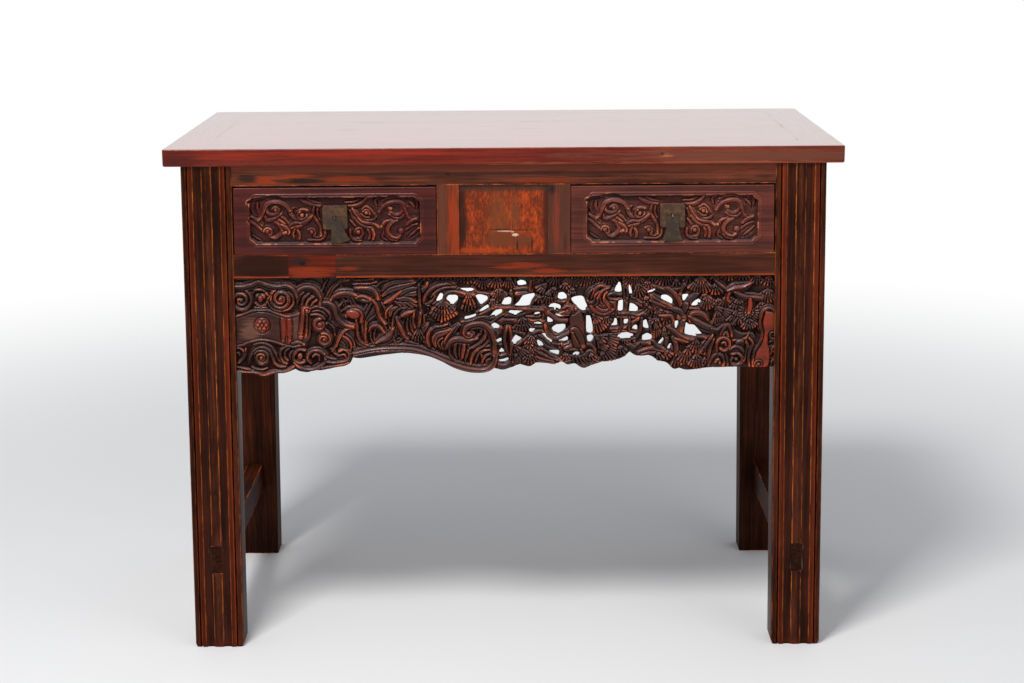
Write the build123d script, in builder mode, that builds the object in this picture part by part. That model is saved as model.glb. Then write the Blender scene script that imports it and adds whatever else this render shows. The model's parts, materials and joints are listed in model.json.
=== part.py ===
"""Chinese altar table with two drawers, moulded legs and a carved, pierced apron.

Millimetres.  X runs along the table, -Y is the front, +Z is up.  The origin is
on the floor, under the middle of the tabletop.
"""

from build123d import *
from math import cos, hypot, radians, sin
import os

os.makedirs("parts", exist_ok=True)

# ---------------------------------------------------------------- overall
table_length = 1100.0
table_depth = 550.0
table_height = 860.0

# ---------------------------------------------------------------- tabletop
top_thickness = 28.0
end_rail_width = 66.0
front_rail_width = 74.0
back_rail_width = 55.0
top_edge_round = 2.5
top_corner_round = 5.0
panel_thickness = 14.0
panel_tongue = 7.0
panel_tongue_thickness = 6.0
panel_tongue_sink = 5.0
back_board_width = 135.0
middle_board_width = 105.0
batten_spacing = 300.0
batten_width = 30.0
batten_depth = 24.0
batten_dovetail = 4.0
batten_tenon = 12.0
batten_tenon_lift = 2.0
batten_tenon_height = 10.0
corner_tenon_width = 28.0
corner_tenon_thickness = 10.0
corner_tenon_inset = 10.0

# ---------------------------------------------------------------- legs
top_side_overhang = 28.0
top_front_overhang = 4.0
top_back_overhang = 24.0
leg_width = 82.0
leg_depth = 55.0
leg_lean = 14.0
leg_tenon_width = 20.0
leg_tenon_depth = 16.0
leg_tenon_height = 12.0
leg_tenon_inset = 7.0
back_leg_tenon_shift = 11.5

# moulding on the front of the front legs, measured from the leg's centre line
reed_half = 8.0
reed_drop = 0.8
hollow_depth = 3.0
hollow_edge = 1.8
arris_offset = 22.0
arris_drop = 0.5
bead_end = 30.0
bead_drop = 1.2
groove_width = 2.6
groove_depth = 5.0
groove_taper = 0.6
strip_drop = 1.0
strip_corner_drop = 3.0

# ---------------------------------------------------------------- rails
rail_setback = 4.0
front_rail_depth = 28.0
upper_rail_height = 33.0
drawer_opening_height = 114.0
lower_rail_height = 38.0
side_rail_thickness = 26.0
back_rail_thickness = 26.0
rail_tenon_length = 28.0
rail_tenon_thickness = 10.0
side_tenon_length = 20.0
tenon_shoulder = 9.0
tenon_gap = 0.2
tenon_end_gap = 1.0

# frame panels at the sides and the back
frame_panel_thickness = 8.0
frame_panel_tongue = 6.0
panel_end_gap = 0.5

# posts and fixed panel between the drawers
post_width = 35.5
post_centre_offset = 90.5
post_tenon_length = 8.0
post_tenon_shoulder = 6.5
centre_panel_thickness = 10.0
centre_panel_recess = 3.0
centre_panel_tongue = 5.0
centre_joint_offset = 12.0

# repair piece let into the face of the lower front rail
patch_leg_offset = 89.5
patch_length = 78.0
patch_depth = 5.0
patch_gap = 0.1

# ---------------------------------------------------------------- side stretchers
stretcher_height = 50.0
stretcher_thickness = 28.0
stretcher_centre_height = 159.0
stretcher_tenon_thickness = 18.0
stretcher_tenon_sink = 1.0

# ---------------------------------------------------------------- drawers
drawer_side_gap = 1.5
drawer_top_gap = 3.5
drawer_run_gap = 0.4
drawer_proud = 1.0
drawer_front_thickness = 22.0
drawer_back_gap = 49.0
drawer_side_thickness = 12.0
drawer_side_inset = 4.0
drawer_side_height = 96.0
drawer_housing = 10.0
drawer_back_thickness = 12.0
drawer_back_housing = 5.0
drawer_bottom_thickness = 7.0
drawer_bottom_lift = 7.0
drawer_bottom_groove = 5.0

# carved field of a drawer front
field_side_margin = 22.0
field_top_margin = 13.0
field_bottom_margin = 14.0
field_corner = 12.0
bead_width = 6.5
bead_rise = 1.0
field_sink = 6.0

# runners, guides and stops that carry the drawers
runner_thickness = 20.0
runner_end_width = 36.0
runner_tongue = 8.0
runner_tongue_thickness = 8.0
inner_runner_width = 76.0
guide_height = 18.0
guide_gap = 1.0
stop_length = 20.0
stop_height = 14.0
stop_gap = 0.5

# ---------------------------------------------------------------- drawer pulls
pull_lift = 6.0
plate_width = 40.0
plate_height = 38.0
plate_thickness = 1.0
plate_corner = 3.0
plate_hole_gap = 0.6
pad_margin = 2.0
eye_radius = 2.6
eye_wire_radius = 0.8
shank_radius = 1.3
shank_gap = 0.3
prong_thickness = 1.4
prong_spread = 6.0
pendant_thickness = 1.6
pendant_length = 43.0
pendant_top_width = 22.0
pendant_waist_width = 20.0
pendant_waist_drop = 13.0
pendant_bottom_width = 33.0
pendant_bottom_bow = 3.0
pendant_corner = 3.0
pendant_strip = 2.0
left_pull_tilt = 12.0

# ---------------------------------------------------------------- carved apron
apron_setback = 2.0
apron_thickness = 24.0
apron_end_tongue = 6.0
apron_tongue_thickness = 10.0
apron_tongue_cheek = 4.0
apron_tongue_top_drop = 12.0
apron_tongue_length = 120.0

# Lower edge of the apron, from the left leg to the right one: each run is a
# smooth curve through (distance from the middle, drop below the rail), and two
# runs meet in a carved notch.
apron_edge_runs = [
    [(-445.5, 160.0), (-416, 163), (-402, 168), (-386, 164), (-364, 162.5), (-349, 157)],
    [(-349, 157), (-340, 161), (-328, 161.5), (-316, 158)],
    [(-316, 158), (-302, 158.5), (-283, 154), (-266, 151), (-256, 145), (-253, 137)],
    [(-253, 137), (-236, 138), (-200, 132.5), (-168, 129.5), (-138, 132), (-112, 140.5),
     (-84, 155), (-60, 162.5), (-38, 163.5), (-26, 161), (-18, 156)],
    [(-18, 156), (-4, 160), (10, 156), (25, 151), (41, 154.5), (54, 147.5), (70, 148),
     (84, 150), (94, 145)],
    [(94, 145), (104, 152), (115.5, 148.5)],
    [(115.5, 148.5), (130, 158), (144, 153), (157, 147.5)],
    [(157, 147.5), (178, 145), (196, 140), (207, 130)],
    [(207, 130), (218, 136.5), (240, 136.5), (254, 145.5), (268, 149), (280, 160), (290, 158.5)],
    [(290, 158.5), (304, 162), (340, 158), (390, 156.5), (445.5, 156.5)],
]
carving_half_width = apron_edge_runs[-1][-1][0]

# Openings pierced through the pine branches: distance from the middle, drop
# below the rail, width, height and tilt in degrees.
apron_piercings = [
    (-108, 36, 10, 15, -18), (-87, 38, 18, 14, 0), (-59, 21, 20, 7, 0), (-34, 40, 18, 14, 0),
    (-34, 56, 20, 7, 40), (-54, 72, 20, 6, 28), (-14, 61, 22, 7, 30), (5, 44, 15, 14, 25),
    (28, 13, 14, 9, 0), (31, 43, 14, 28, -28), (17, 62, 26, 7, 8), (54, 64, 10, 6, 15),
    (75, 73, 9, 8, -25), (82, 53, 18, 9, -10), (91, 70, 18, 5, -22), (96, 35, 16, 12, 0),
    (123, 46, 22, 17, -35), (55, 81, 16, 6, -12), (45, 92, 11, 6, 0), (91, 88, 20, 15, 15),
    (-15, 85, 13, 8, -20), (-9, 109, 10, 8, 25), (17, 109, 17, 11, 35), (60, 116, 13, 8, -45),
    (69, 102, 24, 6, -40), (97, 110, 15, 9, 15), (-4, 126, 11, 9, 0), (-2, 143, 17, 5, 20),
    (80, 131, 19, 10, -5), (119, 134, 13, 6, -8), (140, 83, 11, 28, -4), (141, 108, 10, 12, 0),
    (188, 26, 11, 16, 15), (191, 54, 8, 22, 8), (213, 56, 15, 16, 5), (182, 85, 7, 14, 12),
    (200, 80, 9, 9, 0), (233, 82, 9, 15, -8), (215, 89, 10, 8, 0), (199, 102, 28, 10, 0),
    (236, 107, 17, 13, 15), (267, 43, 22, 14, -25), (260, 112, 10, 6, 50), (273, 121, 9, 6, 50),
    (285, 84, 8, 14, 0), (298, 39, 10, 11, 0), (316, 48, 18, 9, 20), (309, 93, 27, 17, -30),
]

# handscroll with a round boss, sunk into the cloud panel at the left end
scroll_field = [
    (-440, 68), (-400, 56), (-360, 66), (-342, 64), (-342, 112), (-370, 113), (-402, 106),
    (-440, 116),
]
scroll_sink = 6.0
boss_centre = (-401.0, 83.0)
boss_radius = 14.0

# ---------------------------------------------------------------- derived sizes
half_length = table_length / 2
front_edge = -table_depth / 2
back_edge = table_depth / 2
leg_height = table_height - top_thickness
leg_run = hypot(leg_height, leg_lean)
leg_top_offset = half_length - top_side_overhang - leg_width / 2

front_leg_face = front_edge + top_front_overhang
front_leg_back = front_leg_face + leg_depth
back_leg_face = back_edge - top_back_overhang
back_leg_front = back_leg_face - leg_depth

rail_face = front_leg_face + rail_setback
rail_back = rail_face + front_rail_depth
back_rail_face = back_leg_face - rail_setback
back_rail_front = back_rail_face - back_rail_thickness

upper_rail_bottom = leg_height - upper_rail_height
lower_rail_top = upper_rail_bottom - drawer_opening_height
lower_rail_bottom = lower_rail_top - lower_rail_height
stretcher_bottom = stretcher_centre_height - stretcher_height / 2
stretcher_top = stretcher_centre_height + stretcher_height / 2

post_inner = post_centre_offset - post_width / 2
post_outer = post_centre_offset + post_width / 2

sides = {"left": -1, "right": 1}
upper_tenon = (upper_rail_bottom + tenon_shoulder, leg_height - tenon_shoulder / 2)
lower_tenon = (lower_rail_bottom + tenon_shoulder / 2, lower_rail_top - tenon_shoulder)


def leg_centre(height):
    """Distance from the table's middle to a leg's centre line."""
    return leg_top_offset + leg_lean * (leg_height - height) / leg_height


def leg_inner(height):
    """Distance from the table's middle to a leg's inner face."""
    return leg_centre(height) - leg_width / 2


side_rail_offset = leg_centre(lower_rail_top)
side_rail_inner = side_rail_offset - side_rail_thickness / 2


def block(x, y, z, mode=Mode.ADD):
    """A box between two bounds along each axis, in either order."""
    spans = [tuple(sorted(span)) for span in (x, y, z)]
    with Locations(tuple((low + high) / 2 for low, high in spans)):
        return Box(*[high - low for low, high in spans], mode=mode)


def grown(span, gap):
    """A span with the same clearance added at both ends."""
    return (min(span) - gap, max(span) + gap)


def centred(middle, width):
    """A span of the given width about its middle."""
    return (middle - width / 2, middle + width / 2)


def save(piece, label):
    piece.part.label = label
    export_step(piece.part, f"parts/{label}.step")


# ---------------------------------------------------------------- shared spans
def leg_rows():
    """Front and back rows of legs: face, inside face and direction into the leg."""
    return {
        "front": (front_leg_face, front_leg_back, -1),
        "back": (back_leg_front, back_leg_face, 1),
    }


def leg_tenon_centre(row):
    """Plan position of the tenon on top of a right-hand leg."""
    low, high, outward = leg_rows()[row]
    shift = back_leg_tenon_shift if row == "back" else 0.0
    return (leg_top_offset - leg_tenon_inset, (low + high) / 2 + outward * shift)


front_tenon_y = centred((rail_face + rail_back) / 2, rail_tenon_thickness)
back_tenon_y = centred((back_rail_front + back_rail_face) / 2, rail_tenon_thickness)
side_tenon_x = centred(side_rail_offset, rail_tenon_thickness)
side_panel_x = centred(side_rail_offset, frame_panel_thickness)
stretcher_x = leg_centre(stretcher_centre_height)
stretcher_tenon_x = centred(stretcher_x, stretcher_tenon_thickness)
back_panel_y = centred((back_rail_front + back_rail_face) / 2, frame_panel_thickness)
panel_z = (lower_rail_top - frame_panel_tongue, upper_rail_bottom + frame_panel_tongue)
centre_panel_y = (
    rail_face + centre_panel_recess,
    rail_face + centre_panel_recess + centre_panel_thickness,
)
apron_face = rail_face + apron_setback
apron_back = apron_face + apron_thickness
apron_tongue_y = (
    apron_back - apron_tongue_cheek - apron_tongue_thickness,
    apron_back - apron_tongue_cheek,
)
apron_tongue_z = (
    lower_rail_bottom - apron_tongue_top_drop - apron_tongue_length,
    lower_rail_bottom - apron_tongue_top_drop,
)

opening_x = half_length - end_rail_width
opening_front = front_edge + front_rail_width
opening_back = back_edge - back_rail_width
tongue_top = table_height - panel_tongue_sink
panel_tongue_z = (tongue_top - panel_tongue_thickness, tongue_top)
panel_underside = table_height - panel_thickness
corner_tenon_top = panel_tongue_z[0] - 1.0
corner_tenon_z = (corner_tenon_top - corner_tenon_thickness, corner_tenon_top)
batten_tenon_z = (
    leg_height + batten_tenon_lift,
    leg_height + batten_tenon_lift + batten_tenon_height,
)
batten_positions = [-batten_spacing, 0.0, batten_spacing]


# ================================================================ tabletop
with BuildPart() as top_blank:
    with BuildSketch(Plane.XY.offset(leg_height)):
        Rectangle(table_length, table_depth)
    extrude(amount=top_thickness)
    fillet(top_blank.edges().filter_by(Axis.Z), top_corner_round)
    fillet(top_blank.faces().sort_by(Axis.Z)[-1].edges(), top_edge_round)
    fillet(top_blank.faces().sort_by(Axis.Z)[0].edges(), top_edge_round)


def cut_leg_tenons():
    """Mortises for the tenons on top of the four legs."""
    for side in sides.values():
        for row in leg_rows():
            x, y = leg_tenon_centre(row)
            block(
                grown(centred(side * x, leg_tenon_width), tenon_gap),
                grown(centred(y, leg_tenon_depth), tenon_gap),
                (leg_height, leg_height + leg_tenon_height + tenon_end_gap),
                Mode.SUBTRACT,
            )


def cut_panel_groove():
    """Groove for the floating panel, all round the opening."""
    reach = panel_tongue + panel_end_gap
    block(
        (-opening_x - reach, opening_x + reach),
        (opening_front - reach, opening_back + reach),
        panel_tongue_z,
        Mode.SUBTRACT,
    )


def corner_tenon_y(row):
    """Span of the through tenon at the ends of a long rail of the top."""
    if row == "front":
        inner = opening_front - corner_tenon_inset
        return (inner - corner_tenon_width, inner)
    inner = opening_back + corner_tenon_inset
    return (inner, inner + corner_tenon_width)


for row, edge, inside in (
    ("front", front_edge, opening_front),
    ("back", back_edge, opening_back),
):
    with BuildPart() as long_rail:
        with BuildSketch(Plane.XY.offset(leg_height)):
            with BuildLine():
                Polyline(
                    (-half_length, edge),
                    (half_length, edge),
                    (opening_x, inside),
                    (-opening_x, inside),
                    close=True,
                )
            make_face()
        extrude(amount=top_thickness)
        for side in sides.values():
            block((side * opening_x, side * half_length), corner_tenon_y(row), corner_tenon_z)
        cut_panel_groove()
        cut_leg_tenons()
        for position in batten_positions:
            inward = 1 if row == "front" else -1
            block(
                grown(centred(position, batten_width), tenon_gap),
                (inside - inward * (batten_tenon + tenon_end_gap), inside),
                grown(batten_tenon_z, tenon_gap),
                Mode.SUBTRACT,
            )
        add(top_blank.part, mode=Mode.INTERSECT)
    save(long_rail, f"top_{row}_rail")

for name, side in sides.items():
    with BuildPart() as end_rail:
        with BuildSketch(Plane.XY.offset(leg_height)):
            with BuildLine():
                Polyline(
                    (side * half_length, front_edge),
                    (side * half_length, back_edge),
                    (side * opening_x, opening_back),
                    (side * opening_x, opening_front),
                    close=True,
                )
            make_face()
        extrude(amount=top_thickness)
        for row in leg_rows():
            block(
                (side * opening_x, side * (half_length + 1)),
                grown(corner_tenon_y(row), tenon_gap),
                grown(corner_tenon_z, tenon_gap),
                Mode.SUBTRACT,
            )
        cut_panel_groove()
        cut_leg_tenons()
        add(top_blank.part, mode=Mode.INTERSECT)
    save(end_rail, f"top_end_rail_{name}")

back_joint = opening_back - back_board_width
middle_joint = back_joint - middle_board_width
boards = {
    "front": (opening_front, middle_joint),
    "middle": (middle_joint, back_joint),
    "back": (back_joint, opening_back),
}
for name, (board_front, board_back) in boards.items():
    front_tongue = panel_tongue if name == "front" else 0.0
    back_tongue = panel_tongue if name == "back" else 0.0
    with BuildPart() as board:
        block((-opening_x, opening_x), (board_front, board_back), (panel_underside, table_height))
        block(
            (-opening_x - panel_tongue, opening_x + panel_tongue),
            (board_front - front_tongue, board_back + back_tongue),
            panel_tongue_z,
        )
        with BuildSketch(Plane.XZ.offset(-board_front)):
            for position in batten_positions:
                with Locations((position, panel_underside + batten_dovetail / 2)):
                    Trapezoid(batten_width, batten_dovetail, 60, rotation=180)
        extrude(amount=-(board_back - board_front), mode=Mode.SUBTRACT)
    save(board, f"top_board_{name}")

with BuildPart() as top_battens:
    for position in batten_positions:
        block(
            centred(position, batten_width),
            (opening_front, opening_back),
            (panel_underside - batten_depth, panel_underside),
        )
        block(
            centred(position, batten_width),
            (opening_front - batten_tenon, opening_back + batten_tenon),
            batten_tenon_z,
        )
    with BuildSketch(Plane.XZ.offset(-opening_front)):
        for position in batten_positions:
            with Locations((position, panel_underside + batten_dovetail / 2)):
                Trapezoid(batten_width, batten_dovetail, 60, rotation=180)
    extrude(amount=-(opening_back - opening_front))
save(top_battens, "top_battens")


# ================================================================ legs
def moulded_outline():
    """Plan of a front leg: reed, hollows, beads and outer strips on its face."""
    half = leg_width / 2
    strip_start = bead_end + groove_width
    ThreePointArc((-reed_half, reed_drop), (0, 0), (reed_half, reed_drop))
    for hand in (-1, 1):
        quirk = Line((hand * reed_half, reed_drop), (hand * reed_half, hollow_edge))
        hollow = ThreePointArc(
            quirk @ 1,
            (hand * (reed_half + arris_offset) / 2, hollow_depth),
            (hand * arris_offset, hollow_edge),
        )
        arris = Line(hollow @ 1, (hand * arris_offset, arris_drop))
        bead = ThreePointArc(
            arris @ 1,
            (hand * (arris_offset + bead_end) / 2, 0),
            (hand * bead_end, bead_drop),
        )
        groove = Polyline(
            bead @ 1,
            (hand * (bead_end + groove_taper), groove_depth),
            (hand * (strip_start - groove_taper), groove_depth),
            (hand * strip_start, strip_drop),
        )
        strip = ThreePointArc(
            groove @ 1,
            (hand * (strip_start + half) / 2, strip_drop),
            (hand * half, strip_corner_drop),
        )
        Line(strip @ 1, (hand * half, leg_depth))
    Line((-half, leg_depth), (half, leg_depth))


for row, (leg_low, leg_high, outward) in leg_rows().items():
    for name, side in sides.items():
        leg_x = side * leg_centre(0)
        with BuildPart() as leg:
            if row == "front":
                with BuildSketch(Plane((leg_x, front_leg_face, 0))):
                    with BuildLine():
                        moulded_outline()
                    make_face()
            else:
                with BuildSketch(Plane((leg_x, (leg_low + leg_high) / 2, 0))):
                    RectangleRounded(leg_width, leg_depth, 2)
            extrude(amount=leg_run, dir=(-side * leg_lean, 0, leg_height))

            # tenon into the underside of the top
            tenon_x, tenon_y = leg_tenon_centre(row)
            block(
                centred(side * tenon_x, leg_tenon_width),
                centred(tenon_y, leg_tenon_depth),
                (leg_height - 1, leg_height + leg_tenon_height),
            )

            # mortises for the long rails
            rail_tenon_y = front_tenon_y if row == "front" else back_tenon_y
            for tenon_z in (upper_tenon, lower_tenon):
                block(
                    (side * (leg_inner(leg_height) - 5),
                     side * (leg_inner(leg_height) + rail_tenon_length + tenon_end_gap)),
                    grown(rail_tenon_y, tenon_gap),
                    grown(tenon_z, tenon_gap),
                    Mode.SUBTRACT,
                )

            # mortises for the side rails and groove for the side panel
            inside = leg_high if row == "front" else leg_low
            for span_x, span_z, depth in (
                (side_tenon_x, upper_tenon, side_tenon_length + tenon_end_gap),
                (side_tenon_x, lower_tenon, side_tenon_length + tenon_end_gap),
                (side_panel_x, panel_z, frame_panel_tongue + panel_end_gap),
            ):
                block(
                    grown([side * x for x in span_x], tenon_gap),
                    (inside, inside + outward * depth),
                    grown(span_z, tenon_gap),
                    Mode.SUBTRACT,
                )

            # through mortise for the stretcher
            block(
                grown([side * x for x in stretcher_tenon_x], tenon_gap),
                (leg_low - 1, leg_high + 1),
                (stretcher_bottom, stretcher_top),
                Mode.SUBTRACT,
            )

            if row == "front":
                # groove for the end of the apron
                block(
                    (side * (leg_inner(leg_height) - 5),
                     side * (leg_inner(apron_tongue_z[0]) + apron_end_tongue + panel_end_gap)),
                    grown(apron_tongue_y, tenon_gap),
                    grown(apron_tongue_z, tenon_gap),
                    Mode.SUBTRACT,
                )
            else:
                # groove for the back panel
                block(
                    (side * (leg_inner(leg_height) - 5),
                     side * (leg_inner(leg_height) + frame_panel_tongue + panel_end_gap)),
                    grown(back_panel_y, tenon_gap),
                    grown(panel_z, tenon_gap),
                    Mode.SUBTRACT,
                )
        save(leg, f"leg_{row}_{name}")


# ================================================================ long rails
def between_legs(low, high):
    """Front view of a rail whose ends follow the leaning legs."""
    Polyline(
        (-leg_inner(low), low),
        (leg_inner(low), low),
        (leg_inner(high), high),
        (-leg_inner(high), high),
        close=True,
    )


def rail_tenons(y, z):
    """Tenons at both ends of a long rail."""
    reach = leg_inner(leg_height) + rail_tenon_length
    block((-reach, reach), y, z)


def cut_post_mortises(z):
    """Mortises for the stub tenons of the two posts."""
    for side in sides.values():
        block(
            grown(centred(side * post_centre_offset, post_width - 2 * post_tenon_shoulder),
                  tenon_gap),
            grown(front_tenon_y, tenon_gap),
            z,
            Mode.SUBTRACT,
        )


def cut_centre_groove(z):
    """Groove for the fixed panel between the posts."""
    reach = post_inner + centre_panel_tongue + tenon_gap
    block((-reach, reach), centre_panel_y, z, Mode.SUBTRACT)


with BuildPart() as front_upper_rail:
    with BuildSketch(Plane.XZ.offset(-rail_face)):
        with BuildLine():
            between_legs(upper_rail_bottom, leg_height)
        make_face()
    extrude(amount=-front_rail_depth)
    rail_tenons(front_tenon_y, upper_tenon)
    cut_post_mortises(
        (upper_rail_bottom, upper_rail_bottom + post_tenon_length + tenon_end_gap)
    )
    cut_centre_groove(
        (upper_rail_bottom, upper_rail_bottom + centre_panel_tongue + panel_end_gap)
    )
save(front_upper_rail, "front_upper_rail")

runner_tongue_z = centred(lower_rail_top - runner_thickness / 2, runner_tongue_thickness)
outer_runner_x = (
    leg_inner(upper_rail_bottom) - runner_end_width,
    leg_inner(upper_rail_bottom) - 1.0,
)
inner_runner_x = centred(post_centre_offset + 15, inner_runner_width)


def cut_runner_mortises(y):
    """Mortises for the tongues at one end of the four drawer runners."""
    for side in sides.values():
        for span in (outer_runner_x, inner_runner_x):
            block(
                grown([side * x for x in span], tenon_gap),
                y,
                grown(runner_tongue_z, tenon_gap),
                Mode.SUBTRACT,
            )


patch_left = patch_leg_offset - leg_inner(lower_rail_top)

with BuildPart() as front_lower_rail:
    with BuildSketch(Plane.XZ.offset(-rail_face)):
        with BuildLine():
            between_legs(lower_rail_bottom, lower_rail_top)
        make_face()
    extrude(amount=-front_rail_depth)
    rail_tenons(front_tenon_y, lower_tenon)
    cut_post_mortises((lower_rail_top - post_tenon_length - tenon_end_gap, lower_rail_top))
    cut_centre_groove((lower_rail_top - centre_panel_tongue - panel_end_gap, lower_rail_top))
    cut_runner_mortises((rail_back - runner_tongue - panel_end_gap, rail_back))
    block(
        (patch_left - patch_gap, patch_left + patch_length + patch_gap),
        (rail_face, rail_face + patch_depth),
        (lower_rail_bottom, lower_rail_top),
        Mode.SUBTRACT,
    )
save(front_lower_rail, "front_lower_rail")

with BuildPart() as rail_patch:
    block(
        (patch_left, patch_left + patch_length),
        (rail_face, rail_face + patch_depth),
        (lower_rail_bottom, lower_rail_top),
    )
save(rail_patch, "rail_patch")

with BuildPart() as back_upper_rail:
    with BuildSketch(Plane.XZ.offset(-back_rail_front)):
        with BuildLine():
            between_legs(upper_rail_bottom, leg_height)
        make_face()
    extrude(amount=-back_rail_thickness)
    rail_tenons(back_tenon_y, upper_tenon)
    block(
        (-half_length, half_length),
        back_panel_y,
        (upper_rail_bottom, upper_rail_bottom + frame_panel_tongue + panel_end_gap),
        Mode.SUBTRACT,
    )
save(back_upper_rail, "back_upper_rail")

with BuildPart() as back_lower_rail:
    with BuildSketch(Plane.XZ.offset(-back_rail_front)):
        with BuildLine():
            between_legs(lower_rail_bottom, lower_rail_top)
        make_face()
    extrude(amount=-back_rail_thickness)
    rail_tenons(back_tenon_y, lower_tenon)
    block(
        (-half_length, half_length),
        back_panel_y,
        (lower_rail_top - frame_panel_tongue - panel_end_gap, lower_rail_top),
        Mode.SUBTRACT,
    )
    cut_runner_mortises((back_rail_front, back_rail_front + runner_tongue + panel_end_gap))
save(back_lower_rail, "back_lower_rail")

with BuildPart() as back_panel:
    panel_half = leg_inner(leg_height) + frame_panel_tongue
    block((-panel_half, panel_half), back_panel_y, panel_z)
save(back_panel, "back_panel")


# ================================================================ posts and centre panel
for name, side in sides.items():
    with BuildPart() as post:
        block(
            centred(side * post_centre_offset, post_width),
            (rail_face, rail_back),
            (lower_rail_top, upper_rail_bottom),
        )
        block(
            centred(side * post_centre_offset, post_width - 2 * post_tenon_shoulder),
            front_tenon_y,
            (lower_rail_top - post_tenon_length, upper_rail_bottom + post_tenon_length),
        )
        block(
            (side * post_inner, side * (post_inner + centre_panel_tongue + tenon_gap)),
            centre_panel_y,
            (lower_rail_top, upper_rail_bottom),
            Mode.SUBTRACT,
        )
    save(post, f"post_{name}")

centre_panel_half = post_inner + centre_panel_tongue
centre_boards = {
    "left": (-centre_panel_half, centre_joint_offset),
    "right": (centre_joint_offset, centre_panel_half),
}
for name, board_span in centre_boards.items():
    with BuildPart() as centre_board:
        block(
            board_span,
            centre_panel_y,
            (lower_rail_top - centre_panel_tongue, upper_rail_bottom + centre_panel_tongue),
        )
    save(centre_board, f"centre_board_{name}")


# ================================================================ sides of the case
for name, side in sides.items():
    rail_x = [side * x for x in centred(side_rail_offset, side_rail_thickness)]
    tenon_x = [side * x for x in side_tenon_x]
    groove_x = [side * x for x in side_panel_x]
    rail_y = (front_leg_back, back_leg_front)
    tenon_y = (front_leg_back - side_tenon_length, back_leg_front + side_tenon_length)

    with BuildPart() as side_upper_rail:
        block(rail_x, rail_y, (upper_rail_bottom, leg_height))
        block(tenon_x, tenon_y, upper_tenon)
        block(
            groove_x,
            rail_y,
            (upper_rail_bottom, upper_rail_bottom + frame_panel_tongue + panel_end_gap),
            Mode.SUBTRACT,
        )
    save(side_upper_rail, f"side_upper_rail_{name}")

    with BuildPart() as side_lower_rail:
        block(rail_x, rail_y, (lower_rail_bottom, lower_rail_top))
        block(tenon_x, tenon_y, lower_tenon)
        block(
            groove_x,
            rail_y,
            (lower_rail_top - frame_panel_tongue - panel_end_gap, lower_rail_top),
            Mode.SUBTRACT,
        )
    save(side_lower_rail, f"side_lower_rail_{name}")

    with BuildPart() as side_panel:
        block(
            groove_x,
            (front_leg_back - frame_panel_tongue, back_leg_front + frame_panel_tongue),
            panel_z,
        )
    save(side_panel, f"side_panel_{name}")

    with BuildPart() as stretcher:
        block(
            centred(side * stretcher_x, stretcher_thickness),
            rail_y,
            (stretcher_bottom, stretcher_top),
        )
        block(
            centred(side * stretcher_x, stretcher_tenon_thickness),
            (front_leg_face + stretcher_tenon_sink, back_leg_face - stretcher_tenon_sink),
            (stretcher_bottom, stretcher_top),
        )
    save(stretcher, f"side_stretcher_{name}")


# ================================================================ drawer runners
drawer_face = rail_face - drawer_proud
drawer_inside = drawer_face + drawer_front_thickness
drawer_end = back_rail_front - drawer_back_gap
drawer_floor = lower_rail_top + drawer_run_gap
drawer_top = upper_rail_bottom - drawer_top_gap
drawer_near_post = post_outer + drawer_side_gap
drawer_near_leg = leg_inner(upper_rail_bottom) - drawer_side_gap
inner_side_x = (
    drawer_near_post + drawer_side_inset,
    drawer_near_post + drawer_side_inset + drawer_side_thickness,
)
outer_side_x = (
    drawer_near_leg - drawer_side_inset - drawer_side_thickness,
    drawer_near_leg - drawer_side_inset,
)
runner_z = (lower_rail_top - runner_thickness, lower_rail_top)
runner_y = (rail_back, back_rail_front)
guide_z = (lower_rail_top, lower_rail_top + guide_height)
stop_y = (drawer_end + stop_gap, drawer_end + stop_gap + stop_length)

for name, side in sides.items():
    with BuildPart() as outer_runner:
        block([side * x for x in outer_runner_x], runner_y, runner_z)
        block(
            (side * outer_runner_x[0], side * side_rail_inner),
            (front_leg_back, back_leg_front),
            runner_z,
        )
        block(
            [side * x for x in outer_runner_x],
            grown(runner_y, runner_tongue),
            runner_tongue_z,
        )
    save(outer_runner, f"drawer_runner_outer_{name}")

    with BuildPart() as inner_runner:
        block([side * x for x in inner_runner_x], runner_y, runner_z)
        block([side * x for x in inner_runner_x], grown(runner_y, runner_tongue), runner_tongue_z)
    save(inner_runner, f"drawer_runner_inner_{name}")

    with BuildPart() as outer_guide:
        block(
            (side * (outer_side_x[1] + guide_gap), side * side_rail_inner),
            (front_leg_back, back_leg_front),
            guide_z,
        )
    save(outer_guide, f"drawer_guide_outer_{name}")

    with BuildPart() as inner_guide:
        block(
            (side * inner_runner_x[0], side * (inner_side_x[0] - guide_gap)),
            runner_y,
            guide_z,
        )
    save(inner_guide, f"drawer_guide_inner_{name}")

with BuildPart() as drawer_stops:
    for side in sides.values():
        for span in (outer_side_x, inner_side_x):
            block(
                centred(side * sum(span) / 2, drawer_side_thickness),
                stop_y,
                (lower_rail_top, lower_rail_top + stop_height),
            )
save(drawer_stops, "drawer_stops")


# ================================================================ drawers
bottom_z = (
    drawer_floor + drawer_bottom_lift,
    drawer_floor + drawer_bottom_lift + drawer_bottom_thickness,
)
side_z = (drawer_floor, drawer_floor + drawer_side_height)
back_y = (drawer_end - drawer_back_thickness, drawer_end)
bottom_x = (inner_side_x[1] - drawer_bottom_groove, outer_side_x[0] + drawer_bottom_groove)
bottom_y = (drawer_inside - drawer_bottom_groove, drawer_end)
field_x = (drawer_near_post + field_side_margin, drawer_near_leg - field_side_margin)
field_z = (drawer_floor + field_bottom_margin, drawer_top - field_top_margin)
pull_x = (drawer_near_post + drawer_near_leg) / 2
pull_z = (drawer_floor + drawer_top) / 2 + pull_lift
eye_reach = eye_radius + eye_wire_radius
eye_y = drawer_face - eye_reach


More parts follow.
